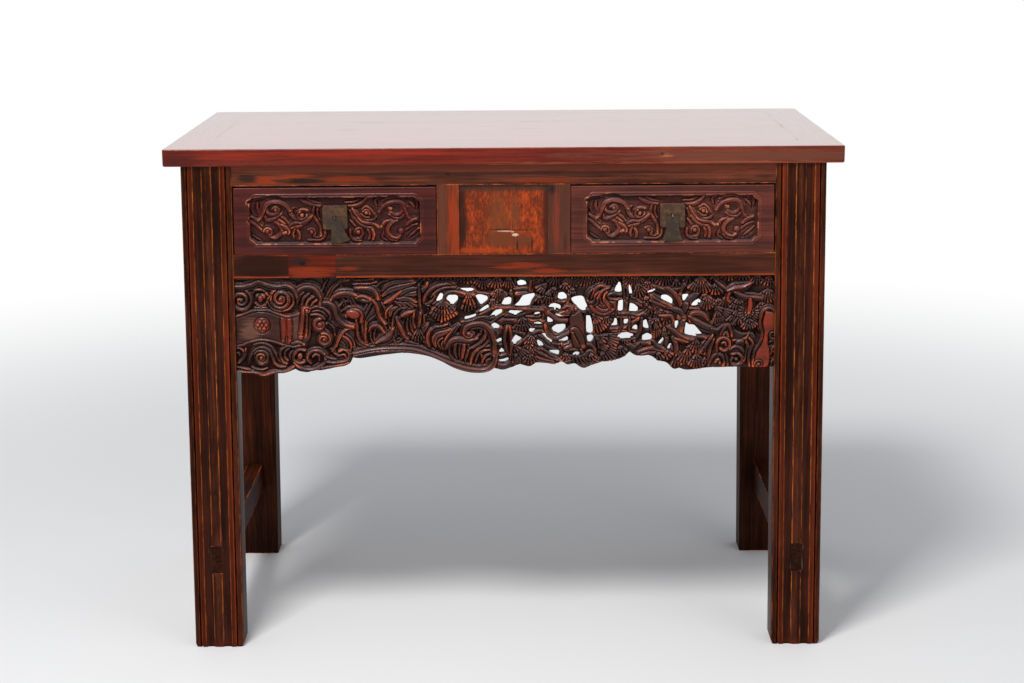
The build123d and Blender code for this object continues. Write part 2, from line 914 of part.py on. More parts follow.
def field_outline(side, inset):
    """Outline of the carved field, with its cut corners, set in by a margin."""
    width = field_x[1] - field_x[0] - 2 * inset
    height = field_z[1] - field_z[0] - 2 * inset
    with Locations((side * sum(field_x) / 2, sum(field_z) / 2)):
        field = Rectangle(width, height)
    return chamfer(field.vertices(), field_corner - inset / 2)


for name, side in sides.items():
    with BuildPart() as drawer_front:
        with BuildSketch(Plane.XZ.offset(-drawer_face)):
            with BuildLine():
                Polyline(
                    (side * drawer_near_post, drawer_floor),
                    (side * (leg_inner(drawer_floor) - drawer_side_gap), drawer_floor),
                    (side * (leg_inner(drawer_top) - drawer_side_gap), drawer_top),
                    (side * drawer_near_post, drawer_top),
                    close=True,
                )
            make_face()
        extrude(amount=-drawer_front_thickness)

        # raised bead round the sunk field
        with BuildSketch(Plane.XZ.offset(-drawer_face)):
            field_outline(side, 0)
        extrude(amount=bead_rise)
        with BuildSketch(Plane.XZ.offset(-drawer_face - field_sink)):
            field_outline(side, bead_width)
        extrude(amount=field_sink + bead_rise, mode=Mode.SUBTRACT)

        # flat pad that carries the pull
        block(
            centred(side * pull_x, plate_width + 2 * pad_margin),
            (drawer_face, drawer_face + field_sink),
            centred(pull_z, plate_height + 2 * pad_margin),
        )

        # housings for the two sides and groove for the bottom
        for span in (inner_side_x, outer_side_x):
            block(
                [side * x for x in span],
                (drawer_inside - drawer_housing, drawer_inside),
                (side_z[0], side_z[1] + tenon_gap),
                Mode.SUBTRACT,
            )
        block(
            [side * x for x in bottom_x],
            (drawer_inside - drawer_bottom_groove - tenon_gap, drawer_inside),
            bottom_z,
            Mode.SUBTRACT,
        )

        # hole for the split pin
        with Locations(Plane((side * pull_x, drawer_face, pull_z), z_dir=(0, -1, 0))):
            Hole(shank_radius + shank_gap)
    save(drawer_front, f"drawer_{name}_front")

    for position, span in (("inner", inner_side_x), ("outer", outer_side_x)):
        inner_face = span[1] if position == "inner" else span[0]
        inward = 1 if position == "outer" else -1
        with BuildPart() as drawer_side:
            block([side * x for x in span], (drawer_inside - drawer_housing, drawer_end), side_z)
            block(
                (side * inner_face, side * (inner_face + inward * drawer_bottom_groove)),
                (drawer_inside - drawer_housing, drawer_end),
                bottom_z,
                Mode.SUBTRACT,
            )
            block(
                (side * inner_face, side * (inner_face + inward * drawer_back_housing)),
                back_y,
                (bottom_z[1], side_z[1]),
                Mode.SUBTRACT,
            )
        save(drawer_side, f"drawer_{name}_{position}_side")

    with BuildPart() as drawer_back:
        block(
            (side * (inner_side_x[1] - drawer_back_housing),
             side * (outer_side_x[0] + drawer_back_housing)),
            back_y,
            (bottom_z[1], side_z[1]),
        )
    save(drawer_back, f"drawer_{name}_back")

    with BuildPart() as drawer_bottom:
        block([side * x for x in bottom_x], bottom_y, bottom_z)
    save(drawer_bottom, f"drawer_{name}_bottom")


# ================================================================ drawer pulls
for name, side in sides.items():
    tilt = radians(left_pull_tilt) if name == "left" else 0.0
    across = (cos(tilt), 0, sin(tilt))
    plate_plane = Plane((side * pull_x, drawer_face, pull_z), x_dir=(1, 0, 0), z_dir=(0, -1, 0))
    pull_plane = Plane((side * pull_x, eye_y, pull_z), x_dir=across, z_dir=(0, -1, 0))

    with BuildPart() as back_plate:
        with BuildSketch(plate_plane):
            plate = Rectangle(plate_width, plate_height)
            chamfer(plate.vertices(), plate_corner)
            Circle(eye_radius + plate_hole_gap, mode=Mode.SUBTRACT)
        extrude(amount=plate_thickness)
    save(back_plate, f"pull_plate_{name}")

    with BuildPart() as split_pin:
        with Locations(Plane((side * pull_x, eye_y, pull_z), z_dir=across)):
            Torus(eye_radius, eye_wire_radius)
        with BuildSketch(pull_plane.offset(-eye_radius)):
            Circle(shank_radius)
        extrude(amount=-(drawer_inside + shank_gap + prong_thickness - eye_y - eye_radius))
        with BuildSketch(pull_plane.offset(eye_y - drawer_inside - shank_gap)):
            Rectangle(2 * (shank_radius + prong_spread), 2 * shank_radius)
        extrude(amount=-prong_thickness)
    save(split_pin, f"split_pin_{name}")

    strip_half = pendant_strip / 2
    pendant_foot = strip_half - pendant_length + pendant_bottom_bow
    with BuildPart() as pendant:
        with BuildSketch(pull_plane):
            with BuildLine():
                top = pendant_top_width / 2
                Line((-top + pendant_corner, strip_half), (top - pendant_corner, strip_half))
                for hand in (-1, 1):
                    shoulder = Line(
                        (hand * (top - pendant_corner), strip_half),
                        (hand * top, strip_half - pendant_corner),
                    )
                    Spline(
                        shoulder @ 1,
                        (hand * pendant_waist_width / 2, -pendant_waist_drop),
                        (hand * pendant_bottom_width / 2, pendant_foot),
                    )
                ThreePointArc(
                    (-pendant_bottom_width / 2, pendant_foot),
                    (0, pendant_foot - pendant_bottom_bow),
                    (pendant_bottom_width / 2, pendant_foot),
                )
            make_face()
            with Locations((0, -eye_radius)):
                Circle(eye_radius - strip_half, mode=Mode.SUBTRACT)
        extrude(amount=pendant_thickness / 2, both=True)
    save(pendant, f"pull_pendant_{name}")


# ================================================================ carved apron
def carved(point):
    """Place of a carved point: its width follows the legs, its drop the rail."""
    height = lower_rail_bottom - point[1]
    return (point[0] * leg_inner(height) / carving_half_width, height)


with BuildPart() as apron:
    with BuildSketch(Plane.XZ.offset(-apron_face)):
        with BuildLine():
            for run in apron_edge_runs:
                Spline([carved(point) for point in run])
            Polyline(
                carved(apron_edge_runs[-1][-1]),
                carved((carving_half_width, 0)),
                carved((-carving_half_width, 0)),
                carved(apron_edge_runs[0][0]),
            )
        make_face()
        for x, drop, width, height, turn in apron_piercings:
            with Locations(Location(carved((x, drop)), turn)):
                Ellipse(width / 2, height / 2, mode=Mode.SUBTRACT)
    extrude(amount=-apron_thickness)

    with BuildSketch(Plane.XZ.offset(-apron_face)):
        with BuildLine():
            Polyline([carved(point) for point in scroll_field], close=True)
        make_face()
        with Locations(carved(boss_centre)):
            Circle(boss_radius, mode=Mode.SUBTRACT)
    extrude(amount=-scroll_sink, mode=Mode.SUBTRACT)

    for side in sides.values():
        block(
            (side * (leg_inner(leg_height) - 2 * apron_end_tongue),
             side * (leg_inner(apron_tongue_z[0]) + apron_end_tongue)),
            apron_tongue_y,
            apron_tongue_z,
        )
save(apron, "apron")
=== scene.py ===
"""The looks of an old two-drawer altar table, built around its CAD frame."""

import json
from math import cos, pi, radians, sin

import bmesh
import bpy
import numpy as np
from mathutils import Matrix, Vector
from mathutils.geometry import tessellate_polygon


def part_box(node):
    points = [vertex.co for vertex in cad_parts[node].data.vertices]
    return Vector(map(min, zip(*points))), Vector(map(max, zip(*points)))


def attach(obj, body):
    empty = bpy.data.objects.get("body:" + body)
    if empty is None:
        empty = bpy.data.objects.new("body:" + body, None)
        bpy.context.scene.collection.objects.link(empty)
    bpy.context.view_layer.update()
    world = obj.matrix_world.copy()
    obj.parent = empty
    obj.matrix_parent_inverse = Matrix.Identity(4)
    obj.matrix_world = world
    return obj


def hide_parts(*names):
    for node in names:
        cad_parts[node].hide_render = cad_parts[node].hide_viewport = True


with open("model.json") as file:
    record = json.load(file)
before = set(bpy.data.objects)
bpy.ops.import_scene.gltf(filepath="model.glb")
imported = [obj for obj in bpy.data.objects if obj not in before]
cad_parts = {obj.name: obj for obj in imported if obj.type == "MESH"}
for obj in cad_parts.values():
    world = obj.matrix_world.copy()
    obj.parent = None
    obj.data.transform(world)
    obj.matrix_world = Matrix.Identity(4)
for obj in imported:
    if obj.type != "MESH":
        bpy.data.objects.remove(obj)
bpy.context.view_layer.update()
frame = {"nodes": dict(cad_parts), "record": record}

MM = 0.001


# -------- carving tools
RIM = 3.0  # how far from an edge of the wood a place still knows its distance to it, in millimetres


class Relief:
    """A carved face seen square on, in millimetres: how high the wood stands, and how far inside the wood
    each place is, below 0 where there is none. Redness and rubbing go along with the forms."""

    def __init__(self, left, bottom, right, top, cell, ground):
        self.x = np.linspace(left, right, round((right - left) / cell) + 1)
        self.z = np.linspace(bottom, top, round((top - bottom) / cell) + 1)
        self.cell = cell
        self.height = np.full((len(self.z), len(self.x)), float(ground))
        self.wood = np.full(self.height.shape, RIM)
        self.red = np.zeros(self.height.shape)
        self.rub = np.zeros(self.height.shape)

    def window(self, points, margin):
        """The part of the grid that lies within a margin of some points."""
        low = np.min(points, axis=0) - margin
        high = np.max(points, axis=0) + margin
        rows = slice(*np.searchsorted(self.z, (low[1], high[1])))
        columns = slice(*np.searchsorted(self.x, (low[0], high[0])))
        across, up = np.meshgrid(self.x[columns], self.z[rows])
        return (rows, columns), across, up

    def lay(self, place, distance, reach, top, trench=1.5, dig=3.5, red=0.0, rub=0.0):
        """Puts a form over what is there: distance is from its middle, reach its half width there. A trench
        beside it, dug below its top, sets it off from the forms behind."""
        height, wood = self.height[place], self.wood[place]
        over = distance < reach
        beside = np.clip(1 - (distance - reach) / trench, 0, 1)
        dug = np.minimum(height, np.maximum(top - dig, height - dig) + 99 * (beside <= 0))
        height[:] = np.where(over, top, np.where(beside > 0, dug * beside + height * (1 - beside), height))
        np.maximum(wood, np.clip(reach - distance, -RIM, RIM), out=wood)
        self.red[place] = np.where(over, red, self.red[place])
        self.rub[place] = np.where(over, rub, self.rub[place])


def points_of(numbers):
    """Points from a plain run of numbers: x, z, x, z and so on."""
    return np.array(numbers, float).reshape(-1, 2)


def closed(outline):
    """An outline's points, with the first one again at the end."""
    points = points_of(outline)
    return np.vstack([points, points[:1]])


def smooth_line(points, step=1.0):
    """Points close together on a smooth curve through the given ones."""
    points = points_of(points)
    padded = np.vstack([2 * points[0] - points[1], points, 2 * points[-1] - points[-2]])
    pieces = []
    for before, start, end, after in zip(padded, padded[1:], padded[2:], padded[3:]):
        t = np.linspace(0, 1, max(2, int(np.hypot(*(end - start)) / step)), endpoint=False)[:, None]
        pieces.append(
            0.5 * (2 * start + (end - before) * t + (2 * before - 5 * start + 4 * end - after) * t**2
                   + (3 * start - before - 3 * end + after) * t**3)
        )
    return np.vstack([*pieces, points[-1:]])


def nearest_on_line(line, across, up):
    """For each place its distance from the line, the side it is on, and how far along it is, 0 to 1."""
    best = np.full(across.shape, 1e9)
    side = np.zeros(across.shape)
    along = np.zeros(across.shape)
    lengths = np.hypot(*np.diff(line, axis=0).T)
    run = np.concatenate([[0], np.cumsum(lengths)])
    for start, end, length, before in zip(line, line[1:], lengths, run):
        if length < 1e-6:
            continue
        way = (end - start) / length
        dx, dz = across - start[0], up - start[1]
        t = np.clip(dx * way[0] + dz * way[1], 0, length)
        away = np.hypot(dx - t * way[0], dz - t * way[1])
        closer = away < best
        best = np.where(closer, away, best)
        side = np.where(closer, np.sign(way[0] * dz - way[1] * dx), side)
        along = np.where(closer, (before + t) / run[-1], along)
    return best, side, along


def strip(relief, points, width, lift, red=0.0, ends=(0.5, 0.5), cross="crest", line=None):
    """A rounded, hollowed or keeled strip of wood along a smooth line, with its ends drawn in."""
    line = smooth_line(points) if line is None else line
    width = 1.2 * width  # so that neighbours touch
    place, across, up = relief.window(line, 1.3 * width)
    distance, side, along = nearest_on_line(line, across, up)
    swell = (1 - ends[0]) * np.clip(along / 0.3, 0, 1) ** 0.7 + ends[0]
    swell *= (1 - ends[1]) * np.clip((1 - along) / 0.4, 0, 1) ** 0.7 + ends[1]
    reach = width / 2 * swell
    u = np.clip(distance / np.maximum(reach, 0.1), 0, 1)
    full = np.minimum(reach, 4.5)  # a wide strip has a flatter back
    if cross == "crest":
        across_it = side * u
        slope = np.clip((0.4 - across_it) / 1.4, 0, 1)
        steep = np.clip((across_it - 0.4) / 0.6, 0, 1)
        drop = full * (0.5 * slope**0.8 + 0.6 * slope**5 + 1.0 * steep**1.6)
    elif cross == "keel":
        drop = full * 0.9 * u
    elif cross == "flat":
        drop = full * 0.5 * (1 - np.sqrt(1 - u**2))
    elif cross == "hollow":
        drop = full * (1 - np.sqrt(1 - u**2) + 0.5 * np.exp(-((u / 0.45) ** 2)))
    elif cross == "double":
        drop = full * (1 - np.sqrt(1 - u**2) + 0.5 * np.exp(-(((side * u + 0.1) / 0.16) ** 2)))
    else:
        drop = full * (1 - np.sqrt(1 - u**2))
    # a lower, wider shoulder beside the strip fills the ground
    wide = np.clip(distance / np.maximum(2.1 * reach, 0.1), 0, 1)
    shoulder = lift - 2.7 - 1.1 * full * (1 - np.sqrt(1 - wide**2))
    height = relief.height[place]
    height[:] = np.where((wide < 1) & (lift > -5.5), np.maximum(height, shoulder), height)
    relief.lay(place, distance, reach, lift - drop, red=red, rub=0.5 * np.clip(along * 8 - 7, 0, 1))


def strips(relief, rows, ends=(0.5, 0.5)):
    """Strips laid one after another: points, width and lift of each, then its redness, ends and cross."""
    for points, width, lift, *rest in rows:
        strip(relief, points, width, lift, *rest, *(0, ends)[len(rest):])


def curl(relief, centre, radius, turns, start, width, lift, sense=1, red=0.0):
    """A strip rolled up to a button, from its outer end inwards. Angles are in degrees."""
    t = np.linspace(0, 1, max(24, int(radius * turns * 4)))
    angle = np.radians(start) + sense * 2 * np.pi * turns * t
    r = radius * (1 - t) ** 0.85 + 0.3 * width * t
    line = np.array(centre) + np.stack([r * np.cos(angle), r * np.sin(angle)], 1)
    strip(relief, None, width, lift, red, ends=(0.6, 0.7), line=line)
    knob(relief, centre, (0.75 * width, 0.75 * width), lift + 0.3, red=red)


def knob(relief, centre, radii, lift, turn=0.0, sink=1.0, red=0.0):
    """An oval button."""
    place, across, up = relief.window(np.array([centre]), max(radii) + 3)
    c, s = np.cos(np.radians(turn)), np.sin(np.radians(turn))
    dx, dz = across - centre[0], up - centre[1]
    u = np.hypot((dx * c + dz * s) / radii[0], (dz * c - dx * s) / radii[1])
    size = min(radii)
    top = lift - sink * size * (1 - np.sqrt(np.clip(1 - u**2, 0, 1)))
    relief.lay(place, u * size, np.full(u.shape, size), top, red=red)


def scatter_blades(relief, left, bottom, right, top, count, seed):
    """Small leaves and needles low in the ground, behind the rest."""
    for x, z, way, length, bend, lift in np.random.default_rng(seed).random((count, 6)):
        start = np.array([left + x * (right - left), bottom + z * (top - bottom)])
        angle = np.radians(35 + 110 * way)
        run = np.array([np.cos(angle), np.sin(angle)]) * (10 + 16 * length)
        side = np.array([-run[1], run[0]]) * (bend - 0.5) * 0.6
        strip(relief, [start, start + run / 2 + side, start + run], 4.2, -6.3 + 1.2 * lift, ends=(0.3, 0.2))


def block_in(relief, outline, lift, edge, bow=0.0, red=0.0):
    """A flat or bowed area with a rounded edge, for bodies, rocks and plain fields."""
    line = smooth_line(closed(outline), step=4)
    place, across, up = relief.window(line, 4)
    signed = depth_inside(line, across, up)
    u = np.clip(1 - signed / edge, 0, 1)
    top = lift - edge * 0.8 * (1 - np.sqrt(1 - u**2)) + bow * np.clip(signed, 0, None)
    relief.lay(place, -signed, np.zeros(signed.shape), top, red=red)


def inside_of(line, across, up):
    """Whether each place is inside a closed line."""
    within = np.zeros(across.shape, bool)
    for (x0, z0), (x1, z1) in zip(line, np.roll(line, -1, axis=0)):
        if z0 != z1:
            crosses = (z0 > up) != (z1 > up)
            within ^= crosses & (across < (x1 - x0) * (up - z0) / (z1 - z0) + x0)
    return within


def depth_inside(line, across, up):
    """How far inside a closed line each place is. It is below 0 outside."""
    distance, _, _ = nearest_on_line(line, across, up)
    return np.where(inside_of(line, across, up), distance, -distance)


def pine(relief, root, aim, spread, reaches, lift, red=0.0, squash=1.0):
    """Tiers of needles that fan out from a root. Each needle is a slender club, rubbed bare at its tip."""
    pitch = 6.0  # from one needle to the next, at their tips
    reach_out = max(reaches)
    place, across, up = relief.window(np.array([root]), reach_out + 3)
    dx, dz = (across - root[0]) / squash, up - root[1]
    r = np.hypot(dx, dz)
    angle = np.angle((dx + 1j * dz) * np.exp(-1j * np.radians(aim)))
    for tier, reach in sorted(enumerate(reaches), reverse=True):
        half = np.radians(spread) * (1 - 0.12 * tier)
        count = max(3, int(2 * half * reach / pitch))
        step = 2 * half / count
        slot = np.clip(np.floor((angle + half) / step), 0, count - 1)
        middle = (slot + 0.5) * step - half
        ragged = 1 - 0.12 * np.abs(np.sin(slot * 12.9898 + tier * 4.1 + root[0]))  # no two needles alike
        tip = reach * ragged
        t = np.clip(r / tip, 0, 1)
        wide = 0.42 * pitch * (0.4 + 0.6 * t) * np.clip(0.5 + r / 12, 0, 1)
        off = np.abs(angle - middle) * r
        past = np.clip(r - (tip - wide), 0, None)
        distance = np.hypot(off, past)
        u = np.clip(distance / wide, 0, 1)
        top = lift - 5 * (1 - t) + 1.0 * (len(reaches) - 1 - tier) - 1.5 * wide * u**1.8
        distance = np.where(np.abs(angle) > half + step, 99, distance)
        bare = np.sin(slot * 7.7 + root[1]) > -0.5
        rub = 0.8 * np.clip(t * 7 - 6.1, 0, 1) * np.clip(2 - 2.4 * u, 0, 1) * bare
        relief.lay(place, distance, wide, top, trench=1.5, dig=3.2, red=red * t**2, rub=rub)


def pierce(relief, outline, edge=1.5, spare=None):
    """An opening cut right through, with its edge eased. Wood prouder than the spared height stays."""
    line = smooth_line(closed(outline), step=2.5)
    place, across, up = relief.window(line, 4)
    signed = -depth_inside(line, across, up)
    cut = np.clip(signed, -RIM, RIM)
    if spare is not None:
        cut = np.where(relief.height[place] > spare, RIM, cut)
    np.minimum(relief.wood[place], cut, out=relief.wood[place])
    relief.height[place] -= edge * np.clip(1 - signed / 2, 0, 1)


def weather(relief, top=0.0):
    """Rounds the tool marks, and finds the crests where the lacquer has rubbed through."""
    cell = relief.cell  # the radii below are in millimetres
    relief.height = np.minimum(soften(relief.height, 0.45 / cell), top)
    relief.wood = soften(relief.wood, 0.6 / cell)
    # how far a place stands above what is close to it, and above what is round about
    crest = relief.height - soften(relief.height, 0.9 / cell)
    swell = relief.height - soften(relief.height, 5 / cell)
    chance = np.random.default_rng(3).random(relief.height.shape) - 0.5
    patches = soften(chance, 5 / cell) * 5 / cell * 3.2 + soften(chance, 1.4 / cell) * 1.4 / cell * 1.6
    proud = np.clip(1 + relief.height / 8, 0, 1) * np.clip(0.4 + swell / 2.5, 0, 1)
    relief.worn = np.clip((crest - 0.28) * 4, 0, 1) * proud * np.clip(0.24 + 1.6 * patches, 0.02, 1)
    tips = soften(relief.rub, 0.7) * np.clip(0.7 + patches, 0.1, 1) * (relief.height > -6)
    relief.worn = np.clip(relief.worn + tips, 0, 1)
    # painted shade and grime: places lower than what is round about are darkened in the colour
    relief.deep = np.clip(0.35 - swell / 3.2, 0, 1)


def trim(relief, outline, rounding=1.5):
    """Cuts away all that is outside an outline, and rounds what is left towards it."""
    signed = depth_inside(closed(outline), *np.meshgrid(relief.x, relief.z))
    relief.wood = np.minimum(relief.wood, np.clip(signed, -RIM, RIM))
    u = np.clip(1 - signed / rounding, 0, 1)
    relief.height = np.minimum(relief.height, np.where(u > 0, -rounding * (1 - np.sqrt(1 - u**2)), 9))


def soften(values, radius):
    """A blurred copy of a grid, over a radius in cells."""
    size = int(3 * radius) + 1
    kernel = np.exp(-0.5 * (np.arange(-size, size + 1) / radius) ** 2)
    kernel /= kernel.sum()
    padded = np.pad(values, size, mode="edge")
    rows = sum(w * padded[k : k + values.shape[0]] for k, w in enumerate(kernel))
    return sum(w * rows[:, k : k + values.shape[1]] for k, w in enumerate(kernel))


# -------- carved apron
# Places are in millimetres: x from the middle of the table, z above the floor.
OPENINGS = [
    [-106, 618, -101, 617, -104, 606, -108, 603, -113, 605],
    [-92, 615, -79, 615, -77, 609, -84, 601, -88, 598, -96, 607],
    [-75, 626, -54, 626, -50, 624, -58, 621, -68, 620],
    [-48, 614, -40, 616, -28, 612, -29, 607, -36, 601, -40, 600],
    [-41, 589, -33, 595, -27, 598, -26, 594, -34, 587, -42, 584],
    [-66, 578, -55, 580, -47, 583, -50, 578, -60, 573, -66, 571],
    [-25, 578, -15, 588, -5, 591, -4, 586, -12, 580, -26, 576],
    [-23, 564, -17, 567, -8, 562, -15, 557, -20, 558], [0, 609, 11, 610, 9, 598, 3, 595, -5, 597],
    [21, 636, 27, 639, 34, 637, 36, 633, 30, 629, 25, 629],
    [30, 613, 37, 616, 50, 616, 44, 605, 38, 594, 16, 594, 24, 603],
    [9, 589, 32, 587, 24, 582, 10, 581, 6, 584], [49, 583, 56, 586, 59, 583, 55, 579, 49, 579],
    [71, 578, 78, 573, 80, 570, 75, 568, 71, 570],
    [76, 597, 81, 600, 91, 597, 93, 592, 88, 589, 80, 590, 73, 594],
    [83, 583, 90, 582, 99, 577, 97, 575, 88, 577], [90, 617, 97, 618, 103, 612, 101, 607, 95, 605, 88, 610],
    [110, 608, 118, 611, 129, 611, 133, 603, 137, 592, 129, 588, 118, 597],
    [45, 566, 55, 569, 61, 567, 62, 563, 55, 563], [40, 555, 42, 558, 51, 557, 48, 552, 43, 552],
    [78, 558, 85, 563, 97, 565, 101, 561, 97, 554, 88, 548, 83, 551],
    [-14, 539, -6, 542, -6, 537, -12, 533, -15, 534], [18, 547, 28, 541, 28, 539, 20, 533, 13, 531, 11, 537],
    [-5, 525, -1, 520, -2, 516, -10, 518, -9, 521], [53, 538, 60, 536, 64, 530, 62, 526, 56, 529],
    [60, 548, 66, 550, 70, 543, 79, 537, 78, 533, 72, 535, 65, 542],
    [89, 537, 97, 541, 103, 544, 105, 540, 103, 536, 91, 534],
    [-11, 506, -6, 505, 5, 508, 6, 506, -2, 500, -8, 501],
    [72, 519, 78, 521, 90, 520, 89, 513, 86, 511, 78, 514],
    [112, 514, 118, 517, 124, 516, 122, 511, 114, 512],
    [135, 578, 140, 579, 143, 573, 146, 552, 137, 551, 135, 560],
    [136, 545, 146, 545, 147, 541, 141, 533, 138, 536],
    [181, 621, 185, 629, 190, 635, 193, 625, 193, 616, 184, 616],
    [188, 603, 193, 606, 196, 602, 195, 585, 190, 584, 187, 590],
    [182, 574, 185, 573, 186, 560, 174, 560, 180, 566], [205, 633, 208, 626, 211, 616, 208, 615, 205, 622],
    [207, 600, 213, 598, 220, 592, 220, 587, 212, 583, 206, 584],
    [235, 618, 241, 621, 249, 624, 248, 621, 240, 617],
    [258, 611, 264, 613, 272, 610, 278, 603, 276, 596, 268, 601, 260, 606],
    [197, 572, 205, 572, 203, 566, 200, 563, 198, 565], [211, 558, 216, 563, 220, 560, 219, 554, 213, 555],
    [229, 569, 234, 571, 237, 562, 239, 557, 232, 558, 229, 563],
    [186, 543, 192, 549, 203, 550, 213, 546, 212, 541, 200, 540, 190, 539],
    [228, 544, 237, 548, 245, 542, 240, 536, 233, 533, 228, 536],
    [262, 541, 264, 538, 261, 533, 258, 530, 254, 531, 258, 536],
    [275, 531, 277, 527, 272, 521, 269, 523, 271, 528], [281, 569, 288, 568, 286, 559, 284, 555, 282, 562],
    [293, 613, 304, 614, 301, 608, 297, 603, 294, 608],
    [320, 606, 325, 602, 322, 598, 312, 593, 308, 596, 313, 602],
    [300, 567, 305, 563, 313, 562, 322, 552, 328, 544, 318, 543, 305, 545, 298, 550],
]


